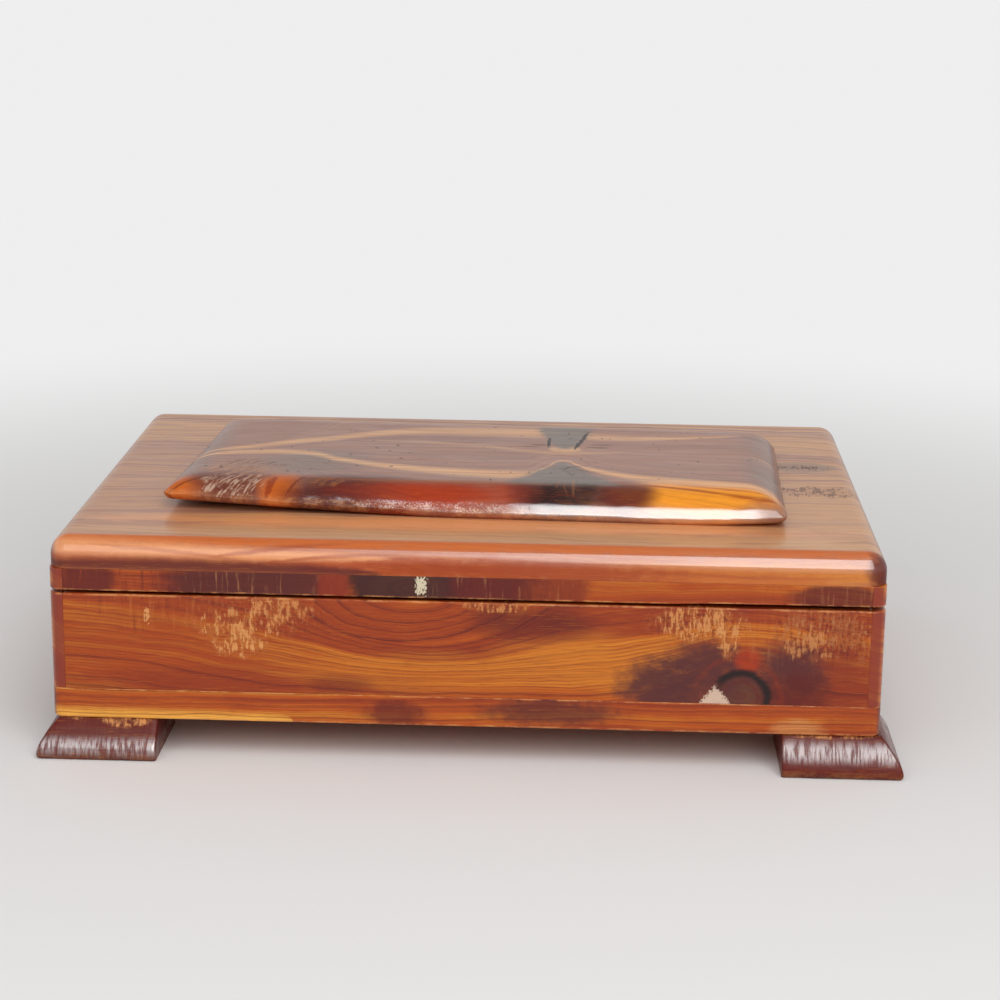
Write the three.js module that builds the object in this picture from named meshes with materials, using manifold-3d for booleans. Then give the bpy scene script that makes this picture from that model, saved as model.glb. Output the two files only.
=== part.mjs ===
// Cedar keepsake box: a glued box sawn open into a body and a lid, a raised
// panel on the lid, four bevelled feet, and two brass butt hinges at the back.
// Millimetres, +Z up. The origin is on the table, under the middle of the box;
// +X runs along the front and +Y points to the back.

import * as THREE from 'three';
import { mergeVertices } from 'three/addons/utils/BufferGeometryUtils.js';
import Module from 'manifold-3d';

const wasm = await Module();
wasm.setup();

// Driving dimensions: the carcase
const boxLength = 254;
const boxDepth = 178;
const wallThick = 9.5;
const wallHeight = 30.4;
const bottomThick = 9.5;
const tongueThick = 4.4;
const cornerRadius = 3.5;
const seamGap = 0.9;
const rimHeight = 6.8;

// Driving dimensions: the lid
const lidThick = 9.5;
const lidRoundover = 5.8;
const lidTopCornerRadius = 1.6;
const panelThick = 9.5;
const panelLength = 196.5;
const panelDepth = 101.6;
const panelOffsetX = 1.9;
const panelOffsetY = -5.8;
const panelTurn = THREE.MathUtils.degToRad(-1.75);
const panelEndBevel = 14;
const panelLongBevel = 14;
const panelNoseHeight = 2.1;
const panelFacetRise = 1.9;
const panelFacetSlope = THREE.MathUtils.degToRad(37);
const panelUndercut = 1.1;
const panelCornerRadius = 2.2;
const panelLeftLift = 3.6;
const panelLeftReach = 95;
const panelRightLift = 1.6;
const panelRightReach = 28;
const panelLiftPower = 1.3;

// Driving dimensions: the feet
const footHeight = 12;
const footLength = 37;
const footOverhang = 5.8;
const footNoseHeight = 1.4;
const footInset = 0.8;
const footSoleInset = 0.7;
const footSweepPower = 1.6;
const footSlip = 1.3;

// Driving dimensions: the hinges
const hingeLength = 38;
const hingeEndSetback = 52;
const leafThick = 0.9;
const leafWidth = 7.6;
const barrelRadius = 2;
const pinRadius = 0.8;
const pinHeadRadius = 1.5;
const pinHeadThick = 0.8;
const knucklesPerHinge = 5;

// Driving dimensions: screws and brads
const screwLength = 5.2;
const screwRadius = 0.95;
const screwTipLength = 1.9;
const screwHeadRadius = 1.85;
const screwEndSetback = 7;
const screwSlotWidth = 0.5;
const screwSlotDepth = 0.35;
const bradLength = 17;
const bradTipLength = 1.2;
const bradRadius = 0.6;
const bradHeadRadius = 1.1;
const bradHeadThick = 0.6;
const bradSetback = 9;
const bradSunk = 0.9;

// Clearances, and what a cut runs past the face it starts from
const runningGap = 0.3;
const fitGap = 0.3;
const overrun = 1;

// Heights, one board above the other
const bottomZ = footHeight;
const wallZ = bottomZ + bottomThick;
const wallTopZ = wallZ + wallHeight;
const rimZ = wallTopZ + seamGap;
const lidZ = rimZ + rimHeight;
const lidTopZ = lidZ + lidThick;
const halfLength = boxLength / 2;
const halfDepth = boxDepth / 2;

// The hinge pin's line: half-way up the seam, clear of the back face
const pinY = halfDepth + runningGap + barrelRadius;
const pinZ = wallTopZ + seamGap / 2;
const boreRadius = pinRadius + runningGap;
const leafSetback = leafWidth / 2 + runningGap;

// How many flats stand for a round
const cornerSteps = 6;
const bevelSteps = 7;
const barrelSteps = 28;
const screwSteps = 16;
const panelSideSteps = 6;

const finishes = {
  lid: { color: 0xb4694a, roughness: 0.3, metalness: 0 },
  panel: { color: 0x9d5a44, roughness: 0.25, metalness: 0 },
  front: { color: 0xa3512a, roughness: 0.3, metalness: 0 },
  rim: { color: 0x8e3d25, roughness: 0.3, metalness: 0 },
  bottom: { color: 0xb0602c, roughness: 0.35, metalness: 0 },
  foot: { color: 0x5c2a22, roughness: 0.28, metalness: 0 },
  brass: { color: 0xb08d45, roughness: 0.35, metalness: 1 },
  steel: { color: 0x8c8880, roughness: 0.4, metalness: 1 },
};

function toSolid(geometry) {
  const bare = geometry.clone();
  bare.deleteAttribute('normal');
  bare.deleteAttribute('uv');
  const merged = mergeVertices(bare);
  return new wasm.Manifold(new wasm.Mesh({
    numProp: 3,
    vertProperties: new Float32Array(merged.attributes.position.array),
    triVerts: new Uint32Array(merged.index.array),
  }));
}

function toGeometry(solid) {
  const mesh = solid.getMesh();
  const geometry = new THREE.BufferGeometry();
  geometry.setAttribute('position', new THREE.BufferAttribute(new Float32Array(mesh.vertProperties), 3));
  geometry.setIndex(new THREE.BufferAttribute(new Uint32Array(mesh.triVerts), 1));
  const flat = geometry.toNonIndexed();
  flat.computeVertexNormals();
  return flat;
}

function piece(name, solid, finish) {
  const mesh = new THREE.Mesh(toGeometry(solid), new THREE.MeshStandardMaterial(finishes[finish]));
  mesh.name = name;
  return mesh;
}

function block(minX, maxX, minY, maxY, minZ, maxZ) {
  const geometry = new THREE.BoxGeometry(maxX - minX, maxY - minY, maxZ - minZ);
  geometry.translate((minX + maxX) / 2, (minY + maxY) / 2, (minZ + maxZ) / 2);
  return toSolid(geometry);
}

// A counter-clockwise rectangle with rounded corners. Each side can be split,
// so that its points can follow a shape that bends along it.
function roundedRectangle(halfX, halfY, radius, steps, sideSteps = 1) {
  const corners = [[1, 1], [-1, 1], [-1, -1], [1, -1]];
  const points = [];
  corners.forEach(([signX, signY], index) => {
    const centre = new THREE.Vector2(signX * (halfX - radius), signY * (halfY - radius));
    for (let step = 0; step <= steps; step += 1) {
      const angle = (index + step / steps) * Math.PI / 2;
      points.push(new THREE.Vector2(Math.cos(angle), Math.sin(angle)).multiplyScalar(radius).add(centre));
    }
    const last = points[points.length - 1];
    const [nextX, nextY] = corners[(index + 1) % corners.length];
    const turn = (index + 1) * Math.PI / 2;
    const next = new THREE.Vector2(Math.cos(turn), Math.sin(turn)).multiplyScalar(radius)
      .add(new THREE.Vector2(nextX * (halfX - radius), nextY * (halfY - radius)));
    for (let step = 1; step < sideSteps; step += 1) {
      points.push(last.clone().lerp(next, step / sideSteps));
    }
  });
  return points;
}

// A closed body through rings of equally many points, listed from the lowest
// ring to the highest, with a flat cap at each end.
function loft(rings) {
  const count = rings[0].length;
  const positions = rings.flat().flatMap((point) => [point.x, point.y, point.z]);
  const triangles = [];
  for (let ring = 0; ring + 1 < rings.length; ring += 1) {
    for (let index = 0; index < count; index += 1) {
      const low = ring * count + index;
      const lowNext = ring * count + (index + 1) % count;
      triangles.push(low, lowNext, lowNext + count, low, lowNext + count, low + count);
    }
  }
  const topStart = (rings.length - 1) * count;
  const asFlat = (ring) => ring.map((point) => new THREE.Vector2(point.x, point.y));
  THREE.ShapeUtils.triangulateShape(asFlat(rings[0]), []).forEach(([a, b, c]) => triangles.push(a, c, b));
  THREE.ShapeUtils.triangulateShape(asFlat(rings[rings.length - 1]), [])
    .forEach(([a, b, c]) => triangles.push(topStart + a, topStart + b, topStart + c));
  const geometry = new THREE.BufferGeometry();
  geometry.setAttribute('position', new THREE.Float32BufferAttribute(positions, 3));
  geometry.setIndex(triangles);
  return toSolid(geometry);
}

function ringAt(points, z) {
  return points.map((point) => new THREE.Vector3(point.x, point.y, z));
}

// A round body about the Z axis from a profile of [radius, z] pairs that
// starts and ends on the axis
function turned(profile, steps) {
  return toSolid(new THREE.LatheGeometry(profile.map(([radius, z]) => new THREE.Vector2(radius, z)), steps)
    .rotateX(Math.PI / 2));
}

function rodZ(radius, minZ, maxZ, steps) {
  return turned([[0, minZ], [radius, minZ], [radius, maxZ], [0, maxZ]], steps);
}

function rodX(radius, minX, maxX, steps) {
  return rodZ(radius, minX, maxX, steps).rotate([0, 90, 0]);
}

// The outline of the carcase, which boards and strips are cut from
function carcaseBlock(minZ, maxZ) {
  const outline = roundedRectangle(halfLength, halfDepth, cornerRadius, cornerSteps);
  return loft([ringAt(outline, minZ), ringAt(outline, maxZ)]);
}

// A side board: full depth, with a rabbet at both ends that takes the front
// and back boards and leaves a thin tongue, whose end grain shows
function sideBoard(side, minZ, maxZ) {
  const innerX = halfLength - wallThick;
  const tongueX = halfLength - tongueThick;
  const board = carcaseBlock(minZ, maxZ).intersect(block(
    innerX, halfLength + overrun, -halfDepth - overrun, halfDepth + overrun, minZ - overrun, maxZ + overrun));
  const rabbets = [-1, 1].map((end) => {
    const edges = [end * (halfDepth - wallThick), end * (halfDepth + overrun)].sort((a, b) => a - b);
    return block(innerX - overrun, tongueX, edges[0], edges[1], minZ - overrun, maxZ + overrun);
  });
  const cut = rabbets.reduce((body, rabbet) => body.subtract(rabbet), board);
  return side > 0 ? cut : cut.rotate([0, 0, 180]);
}

// A front or back board, which sits in the rabbets of the side boards
function longBoard(end, minZ, maxZ) {
  const outerX = halfLength - tongueThick;
  const edges = [end * (halfDepth - wallThick), end * halfDepth].sort((a, b) => a - b);
  return block(-outerX, outerX, edges[0], edges[1], minZ, maxZ);
}

const hingeCentres = { left: hingeEndSetback - halfLength, right: halfLength - hingeEndSetback };

// Where the screws of one hinge stand
function screwPlaces(centreX) {
  const y = halfDepth - leafSetback;
  const reach = hingeLength / 2 - screwEndSetback;
  return [-1, 1].map((side) => [centreX + side * reach, y]);
}

// The recess for a hinge leaf and the pilot holes under it. It is made for the
// body, opening upwards, and turned over for the lid.
function hingeRecess(centreX) {
  const halfSpan = hingeLength / 2 + fitGap;
  const pocket = block(centreX - halfSpan, centreX + halfSpan, halfDepth - leafWidth - fitGap,
    halfDepth + overrun, -leafThick, overrun);
  const pilots = screwPlaces(centreX).map(([x, y]) => (
    rodZ(screwRadius + fitGap, -screwLength - fitGap, 0, screwSteps).translate([x, y, 0])));
  return pilots.reduce((body, pilot) => body.add(pilot), pocket);
}

function upsideDown(solid) {
  return solid.scale([1, 1, -1]);
}

function lidRimBack() {
  return Object.values(hingeCentres).reduce(
    (body, centreX) => body.subtract(upsideDown(hingeRecess(centreX)).translate([0, 0, rimZ])),
    longBoard(1, rimZ, lidZ));
}

function backWall() {
  return Object.values(hingeCentres).reduce(
    (body, centreX) => body.subtract(hingeRecess(centreX).translate([0, 0, wallTopZ])),
    longBoard(1, wallZ, wallTopZ));
}

// The lid board: its top edges are rounded over all round
function lidBoard() {
  const rings = [ringAt(roundedRectangle(halfLength, halfDepth, cornerRadius, cornerSteps), lidZ)];
  for (let step = 0; step <= bevelSteps; step += 1) {
    const angle = step / bevelSteps * Math.PI / 2;
    const inset = lidRoundover * (1 - Math.cos(angle));
    const radius = Math.max(cornerRadius - inset, lidTopCornerRadius);
    const outline = roundedRectangle(halfLength - inset, halfDepth - inset, radius, cornerSteps);
    rings.push(ringAt(outline, lidTopZ - lidRoundover * (1 - Math.sin(angle))));
  }
  return loft(rings);
}

// The profile of the panel's bevels, as points whose x is the share of the
// bevel's width and whose y is the height: from the nose up a narrow facet,
// and then along a parabola that runs out into the flat top
function bevelProfile() {
  const facetTop = panelNoseHeight + panelFacetRise;
  const shareAt = (z) => (z - panelNoseHeight) * Math.tan(panelFacetSlope) / panelLongBevel;
  const curve = new THREE.QuadraticBezierCurve(
    new THREE.Vector2(shareAt(facetTop), facetTop),
    new THREE.Vector2(shareAt(panelThick), panelThick),
    new THREE.Vector2(1, panelThick));
  return [new THREE.Vector2(0, panelNoseHeight), ...curve.getPoints(bevelSteps)];
}

// The raised panel about its own middle, its glued face at z = 0. All four
// sides swell from a nose near the lid up to the flat top. The nose rises
// towards the two front corners, for longer and further to the left one.
function raisedPanel() {
  const halfX = panelLength / 2;
  const halfY = panelDepth / 2;
  const lifts = [[-halfX, panelLeftLift, panelLeftReach], [halfX, panelRightLift, panelRightReach]];
  const liftAt = (point) => lifts.reduce((total, [cornerX, lift, reach]) => {
    const distance = new THREE.Vector2(cornerX, -halfY).distanceTo(point);
    const reachShare = Math.max(0, 1 - distance / reach);
    return total + lift * reachShare ** panelLiftPower;
  }, 0);
  const ring = (insetX, insetY, z, liftShare) => (
    roundedRectangle(halfX - insetX, halfY - insetY, panelCornerRadius, cornerSteps, panelSideSteps)
      .map((point) => new THREE.Vector3(point.x, point.y, z + liftShare * liftAt(point))));
  const rings = [
    ring(panelEndBevel, panelLongBevel, 0, 0),
    ring(panelUndercut, panelUndercut, 0, 1),
  ];
  for (const { x: insetShare, y: z } of bevelProfile()) {
    const outwardShare = 1 - insetShare;
    rings.push(ring(panelEndBevel * insetShare, panelLongBevel * insetShare, z, outwardShare * outwardShare));
  }
  return loft(rings);
}

// One foot for the corner at +X and +Y, about the corner of the body above it,
// its sole at z = 0. The two outer sides slope outwards from the body's edge,
// round into a nose near the table and meet in a mitre ridge.
function footBlock() {
  const inner = footOverhang - footLength;
  const ring = (reach, z) => [
    new THREE.Vector3(reach, reach, z),
    new THREE.Vector3(inner, reach, z),
    new THREE.Vector3(inner, inner, z),
    new THREE.Vector3(reach, inner, z),
  ];
  const rings = [ring(footOverhang - footSoleInset, 0)];
  for (let step = 0; step <= bevelSteps; step += 1) {
    const share = step / bevelSteps;
    const reach = footOverhang - (footOverhang + footInset) * share ** footSweepPower;
    rings.push(ring(reach, footNoseHeight + (footHeight - footNoseHeight) * share));
  }
  return loft(rings);
}

// The places of a foot's two brads, from the corner of the body above it
const bradPlaces = [[-bradSetback, -footLength / 2], [-footLength / 2, -bradSetback]];

function bradHole() {
  const head = rodZ(bradHeadRadius + fitGap, -overrun, bradSunk + bradHeadThick + fitGap, screwSteps);
  const shank = rodZ(bradRadius + fitGap, 0, bradSunk + bradLength + fitGap, screwSteps);
  return head.add(shank);
}

function brad() {
  return turned([
    [0, bradSunk],
    [bradHeadRadius, bradSunk],
    [bradHeadRadius, bradSunk + bradHeadThick],
    [bradRadius, bradSunk + bradHeadThick],
    [bradRadius, bradSunk + bradLength - bradTipLength],
    [0, bradSunk + bradLength],
  ], screwSteps);
}

// The four corners of the body: name, side along X, side along Y
const corners = [
  ['front_left', -1, -1],
  ['front_right', 1, -1],
  ['back_left', -1, 1],
  ['back_right', 1, 1],
];

// The feet were glued on by eye: the front pair sits a little to the right of
// the body's corners and the back pair a little to the left
function atCorner(solid, signX, signY) {
  return solid.scale([signX, signY, 1])
    .translate([signX * halfLength - signY * footSlip, signY * halfDepth, 0]);
}

function foot(signX, signY) {
  const drilled = bradPlaces.reduce(
    (body, [x, y]) => body.subtract(bradHole().translate([x, y, 0])), footBlock());
  return atCorner(drilled, signX, signY);
}

function bottomBoard() {
  let board = carcaseBlock(bottomZ, wallZ);
  for (const [, signX, signY] of corners) {
    for (const [x, y] of bradPlaces) {
      board = board.subtract(atCorner(bradHole().translate([x, y, 0]), signX, signY));
    }
  }
  return board;
}

// The knuckles of one leaf: the first end, the last end and every second one
// between them belong to the body leaf, the others to the lid leaf
function knuckleSpans(centreX, isBodyLeaf) {
  const pitch = hingeLength / knucklesPerHinge;
  const spans = [];
  for (let index = isBodyLeaf ? 0 : 1; index < knucklesPerHinge; index += 2) {
    const start = centreX - hingeLength / 2 + index * pitch;
    spans.push([start + runningGap / 2, start + pitch - runningGap / 2]);
  }
  return spans;
}

// A hinge leaf about the pin's line, with its plate below the line. Its plate
// is let in flush, and narrow tabs carry the knuckles, wrapped round the pin.
function hingeLeaf(centreX, isBodyLeaf) {
  const plateTop = -seamGap / 2;
  const plateBottom = plateTop - leafThick;
  const backFaceY = halfDepth - pinY;
  let leaf = block(centreX - hingeLength / 2, centreX + hingeLength / 2,
    backFaceY - leafWidth, backFaceY, plateBottom, plateTop);
  for (const [start, stop] of knuckleSpans(centreX, isBodyLeaf)) {
    leaf = leaf.add(block(start, stop, backFaceY - leafThick, 0, plateBottom, plateTop));
    leaf = leaf.add(rodX(barrelRadius, start, stop, barrelSteps));
  }
  leaf = leaf.subtract(rodX(boreRadius, centreX - hingeLength, centreX + hingeLength, barrelSteps));
  for (const [x, y] of screwPlaces(centreX)) {
    leaf = leaf.subtract(screwHole().translate([x, y - pinY, plateTop]));
  }
  return (isBodyLeaf ? leaf : upsideDown(leaf)).translate([0, pinY, pinZ]);
}

// The tapered seat of a screw head in a leaf, its mouth at z = 0
function screwHole() {
  const bottomRadius = screwRadius + fitGap;
  const mouthRadius = screwHeadRadius + fitGap;
  return turned([
    [0, -leafThick - overrun],
    [bottomRadius, -leafThick - overrun],
    [bottomRadius, -leafThick],
    [mouthRadius, 0],
    [mouthRadius, overrun],
    [0, overrun],
  ], screwSteps);
}

// A slotted countersunk screw, its head's face at z = 0, pointing down
function screw() {
  const headDepth = screwHeadRadius - screwRadius;
  const body = turned([
    [0, -screwLength],
    [screwRadius, -screwLength + screwTipLength],
    [screwRadius, -headDepth],
    [screwHeadRadius, 0],
    [0, 0],
  ], screwSteps);
  const slot = block(-screwHeadRadius - overrun, screwHeadRadius + overrun,
    -screwSlotWidth / 2, screwSlotWidth / 2, -screwSlotDepth, overrun);
  return body.subtract(slot);
}

// A hinge pin with a low button head at both ends
function hingePin(centreX) {
  const half = hingeLength / 2;
  const headStart = half + runningGap / 2;
  const headEnd = headStart + pinHeadThick;
  return turned([
    [0, -headEnd],
    [pinRadius, -headEnd],
    [pinHeadRadius, -headStart - pinHeadThick / 2],
    [pinHeadRadius, -headStart],
    [pinRadius, -headStart],
    [pinRadius, headStart],
    [pinHeadRadius, headStart],
    [pinHeadRadius, headStart + pinHeadThick / 2],
    [pinRadius, headEnd],
    [0, headEnd],
  ], barrelSteps).rotate([0, 90, 0]).translate([centreX, pinY, pinZ]);
}

function bodyPieces() {
  const group = new THREE.Group();
  group.add(
    piece('front_wall', longBoard(-1, wallZ, wallTopZ), 'front'),
    piece('back_wall', backWall(), 'front'),
    piece('left_wall', sideBoard(-1, wallZ, wallTopZ), 'front'),
    piece('right_wall', sideBoard(1, wallZ, wallTopZ), 'front'),
    piece('bottom_board', bottomBoard(), 'bottom'),
  );
  for (const [name, signX, signY] of corners) {
    group.add(piece(`${name}_foot`, foot(signX, signY), 'foot'));
    bradPlaces.forEach(([x, y], index) => {
      const placed = atCorner(brad().translate([x, y, 0]), signX, signY);
      group.add(piece(`${name}_foot_brad_${index + 1}`, placed, 'steel'));
    });
  }
  return group;
}

function lidPieces() {
  const group = new THREE.Group();
  const panel = piece('raised_panel', raisedPanel(), 'panel');
  panel.position.set(panelOffsetX, panelOffsetY, lidTopZ);
  panel.rotation.z = panelTurn;
  group.add(
    piece('lid_board', lidBoard(), 'lid'),
    panel,
    piece('lid_rim_front', longBoard(-1, rimZ, lidZ), 'rim'),
    piece('lid_rim_back', lidRimBack(), 'rim'),
    piece('lid_rim_left', sideBoard(-1, rimZ, lidZ), 'rim'),
    piece('lid_rim_right', sideBoard(1, rimZ, lidZ), 'rim'),
  );
  return group;
}

function hingePieces(side) {
  const centreX = hingeCentres[side];
  const group = new THREE.Group();
  group.add(
    piece(`${side}_hinge_body_leaf`, hingeLeaf(centreX, true), 'brass'),
    piece(`${side}_hinge_lid_leaf`, hingeLeaf(centreX, false), 'brass'),
    piece(`${side}_hinge_pin`, hingePin(centreX), 'brass'),
  );
  screwPlaces(centreX).forEach(([x, y], index) => {
    const bodyScrew = screw().translate([x, y, wallTopZ]);
    const lidScrew = upsideDown(screw()).translate([x, y, rimZ]);
    group.add(
      piece(`${side}_hinge_body_screw_${index + 1}`, bodyScrew, 'brass'),
      piece(`${side}_hinge_lid_screw_${index + 1}`, lidScrew, 'brass'),
    );
  });
  return group;
}

const woodenBox = new THREE.Group();
woodenBox.add(bodyPieces(), lidPieces(), hingePieces('left'), hingePieces('right'));

export default woodenBox;
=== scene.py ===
import math
import bpy
import numpy as np
from mathutils import Matrix, Vector


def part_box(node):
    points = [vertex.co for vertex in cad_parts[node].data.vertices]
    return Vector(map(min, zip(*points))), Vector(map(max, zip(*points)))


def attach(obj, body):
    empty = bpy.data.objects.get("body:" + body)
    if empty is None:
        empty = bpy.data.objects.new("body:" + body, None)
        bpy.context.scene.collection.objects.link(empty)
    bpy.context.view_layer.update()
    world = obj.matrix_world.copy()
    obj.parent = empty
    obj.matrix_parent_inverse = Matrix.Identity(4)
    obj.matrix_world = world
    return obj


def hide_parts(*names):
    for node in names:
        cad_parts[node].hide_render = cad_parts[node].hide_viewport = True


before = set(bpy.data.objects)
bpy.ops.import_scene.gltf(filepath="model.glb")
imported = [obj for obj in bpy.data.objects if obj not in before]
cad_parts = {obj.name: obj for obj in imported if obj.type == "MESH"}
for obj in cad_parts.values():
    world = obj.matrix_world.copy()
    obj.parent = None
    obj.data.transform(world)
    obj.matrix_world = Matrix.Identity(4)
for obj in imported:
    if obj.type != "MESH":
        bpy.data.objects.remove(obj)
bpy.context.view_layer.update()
mm = 0.001


# camera: it looks from a little above at the front, as the photograph does
cameraSetup = {
    "place": (35.18, -774.23, 264.11),  # mm
    "pitch": 14.71,  # degrees down
    "yaw": 2.09,
    "roll": 0.72,
    "lens": 85.46,
    "sensor": 36.0,
}


# a turn about one axis, x = 0, y = 1, z = 2
def turnAbout(axis, degrees):
    return np.array(Matrix.Rotation(math.radians(degrees), 3, "XYZ"[axis]))


def makeCamera():
    setup = cameraSetup
    worldToView = np.array([[1, 0, 0], [0, 0, -1], [0, 1, 0]], float)
    turned = turnAbout(2, setup["roll"]) @ turnAbout(0, setup["pitch"]) @ turnAbout(1, setup["yaw"]) @ worldToView
    axes = np.array([turned[0], -turned[1], -turned[2]]).T  # the camera's own X, Y and Z in the frame
    data = bpy.data.cameras.new("camera")
    data.lens = setup["lens"]
    data.sensor_width = setup["sensor"]
    camera = bpy.data.objects.new("camera", data)
    bpy.context.scene.collection.objects.link(camera)
    place = Matrix(axes.tolist()).to_4x4()
    place.translation = [value * mm for value in setup["place"]]
    camera.matrix_world = place
    bpy.context.scene.camera = camera


makeCamera()
print("camera set")


# Smooth noise from -1 to 1: pseudo-random values on the corners of a unit
# lattice, blended inside each cell by 3t^2 - 2t^3 along each axis.
def smoothNoise(points, cell, seed):
    scaled = np.asarray(points, float) / cell
    base = np.floor(scaled).astype(np.int64)
    part = scaled - base
    part = part * part * (3 - 2 * part)
    total = np.zeros(len(scaled))
    for corner in range(8):
        step = np.array([corner & 1, (corner >> 1) & 1, (corner >> 2) & 1])
        at = base + step
        mixed = at[:, 0] * 374761393 + at[:, 1] * 668265263 + at[:, 2] * 2147483647 + seed * 974634777
        mixed = (mixed ^ (mixed >> 13)) * 1274126177
        value = ((mixed ^ (mixed >> 16)) & 0xFFFF) / 32767.5 - 1
        weight = np.prod(np.where(step == 1, part, 1 - part), axis=1)
        total += value * weight
    return total


# surfaces


# The outline of a board in plan, moved inwards by a distance. Corners are arcs:
# an outer corner's radius shrinks and an inner corner's grows as the outline
# moves in; between them run straight sides. The count of points never changes.
def planRing(corners, radii, inset, spacing, arcSteps=6):
    corners = np.array(corners, float)
    runs = np.roll(corners, -1, axis=0) - corners
    ways = runs / np.linalg.norm(runs, axis=1)[:, None]
    after = np.column_stack([-ways[:, 1], ways[:, 0]])
    before = np.roll(after, 1, axis=0)
    turning = np.roll(ways, 1, axis=0)
    outer = np.sign(turning[:, 0] * ways[:, 1] - turning[:, 1] * ways[:, 0])
    radii = np.maximum(np.array(radii, float), 0.12)
    reach = np.where(outer > 0, np.maximum(radii, inset + 0.05), radii)
    arcRadius = reach - outer * inset
    centre = corners + (before + after) * (reach * outer)[:, None]
    angle = np.linspace(0, math.pi / 2, arcSteps + 1)[None, :, None]
    outward = before[:, None] * np.cos(angle) + after[:, None] * np.sin(angle)
    arcs = centre[:, None] - outward * (outer * arcRadius)[:, None, None]
    parts = []
    for index, run in enumerate(runs):
        parts.append(arcs[index])
        count = max(1, int(round(np.linalg.norm(run) / spacing)))
        share = (np.arange(1, count) / count)[:, None]
        parts.append(arcs[index][-1] * (1 - share) + arcs[(index + 1) % len(runs)][0] * share)
    return np.concatenate(parts)


# Makes a closed mesh from rings of equally many points, lowest first; the
# first and last ring are closed by a flat face. All lengths come in mm.
def meshFromRings(name, rings, wear):
    rings = np.array(rings, float)
    ringCount, count = rings.shape[:2]
    index = np.arange(ringCount * count).reshape(ringCount, count)
    right = np.roll(index, -1, axis=1)
    quads = np.stack([index[:-1], right[:-1], right[1:], index[1:]], axis=-1).reshape(-1, 4)
    faces = quads.tolist() + [index[0][::-1].tolist(), index[-1].tolist()]
    mesh = bpy.data.meshes.new(name)
    mesh.from_pydata((rings.reshape(-1, 3) * mm).tolist(), [], faces)
    mesh.update()
    worn = mesh.attributes.new("wear", "FLOAT", "POINT")
    worn.data.foreach_set("value", np.repeat(np.array(wear, np.float32), count))
    smooth = np.ones(len(mesh.polygons), bool)
    smooth[-2:] = False
    mesh.polygons.foreach_set("use_smooth", smooth)
    made = bpy.data.objects.new(name, mesh)
    bpy.context.scene.collection.objects.link(made)
    return made


# An eased edge: a quarter circle from the face to the side, as pairs of
# (distance inwards, distance along) from the sharp edge.
def easedEdge(radius, steps):
    angles = np.linspace(0, math.pi / 2, steps + 1)
    return [(radius * (1 - math.cos(angle)), radius * (1 - math.sin(angle))) for angle in angles]


seamShape = {  # mm
    "wander": 0.12,
    "wornDepth": 0.42,
    "wornSpread": 0.16,
    "wornFromX": 62.0,
    "wornFullOver": 14.0,
    "frontFromY": -40.0,
    "frontFullOver": 40.0,
}


# The saw cut between lid and body: its edges wander a little, and the lid's
# edge is worn away near the right front corner.
def seamSway(points):
    shape = seamShape
    wander = smoothNoise(points, 19.0, 3) * 0.7 + smoothNoise(points, 5.0, 8) * 0.3
    rightward = np.clip((points[:, 0] - shape["wornFromX"]) / shape["wornFullOver"], 0, 1)
    frontward = np.clip((shape["frontFromY"] - points[:, 1]) / shape["frontFullOver"], 0, 1)
    worn = rightward * frontward * (shape["wornDepth"] + shape["wornSpread"] * wander)
    return wander * shape["wander"], worn


boardShape = {  # mm
    "spacing": 4.0,
    "besideEdge": 0.3,
    "seamReach": 2.0,
    "easeSteps": 4,  # in an eased edge; a broad one has two to the millimetre
    "seamEase": 0.4,
    "jointEase": 0.15,
    "sideCorner": 3.5,
    "bottomEase": (0.6, 0.25),  # underside, top
    "lidEase": (0.2, 5.8),
    "lidCorner": 5.9,
}


# A board from its outline in plan, with eased edges at its underside and its
# top: rings run up the side and over the top, and an extra ring beside each
# eased edge keeps the worn line narrow.
def boardPiece(node, corners, radii, easeLow, easeHigh, wearLow, wearHigh, seamAt=""):
    low, high = boxInMm(node)
    band, steps, seamReach = [boardShape[key] for key in ("besideEdge", "easeSteps", "seamReach")]
    highSteps = max(steps, int(easeHigh * 2))
    lowEdge = [(inset, low[2] + rise, wearLow) for inset, rise in easedEdge(easeLow, steps)]
    highEdge = [(inset, high[2] - drop, wearHigh) for inset, drop in easedEdge(easeHigh, highSteps)]
    profile = [(easeLow + band, low[2], 0.0)] + lowEdge[::-1] + [(0.0, low[2] + easeLow + band, 0.0)]
    profile += [(0.0, high[2] - easeHigh - band, 0.0)] + highEdge + [(easeHigh + band, high[2], 0.0)]
    rings = []
    for inset, z, worn in profile:
        flat = planRing(corners, radii, inset, boardShape["spacing"])
        ring = np.column_stack([flat, np.full(len(flat), z)])
        wander, chipped = seamSway(ring)
        if seamAt == "low" and z < low[2] + seamReach:
            ring[:, 2] += np.abs(wander) + chipped
        if seamAt == "high" and z > high[2] - seamReach:
            ring[:, 2] -= np.abs(wander)
        rings.append(ring)
    return meshFromRings(node + "_dressed", rings, [worn for inset, z, worn in profile])


def rectangle(low, high):
    return [(high[0], high[1]), (low[0], high[1]), (low[0], low[1]), (high[0], low[1])]


def boxInMm(node):
    low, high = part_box(node)
    return np.array(low) / mm, np.array(high) / mm


def rideAndReplace(piece, body, node, material):
    piece.data.materials.append(material)
    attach(piece, body)
    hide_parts(node)


# shader maths


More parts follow.
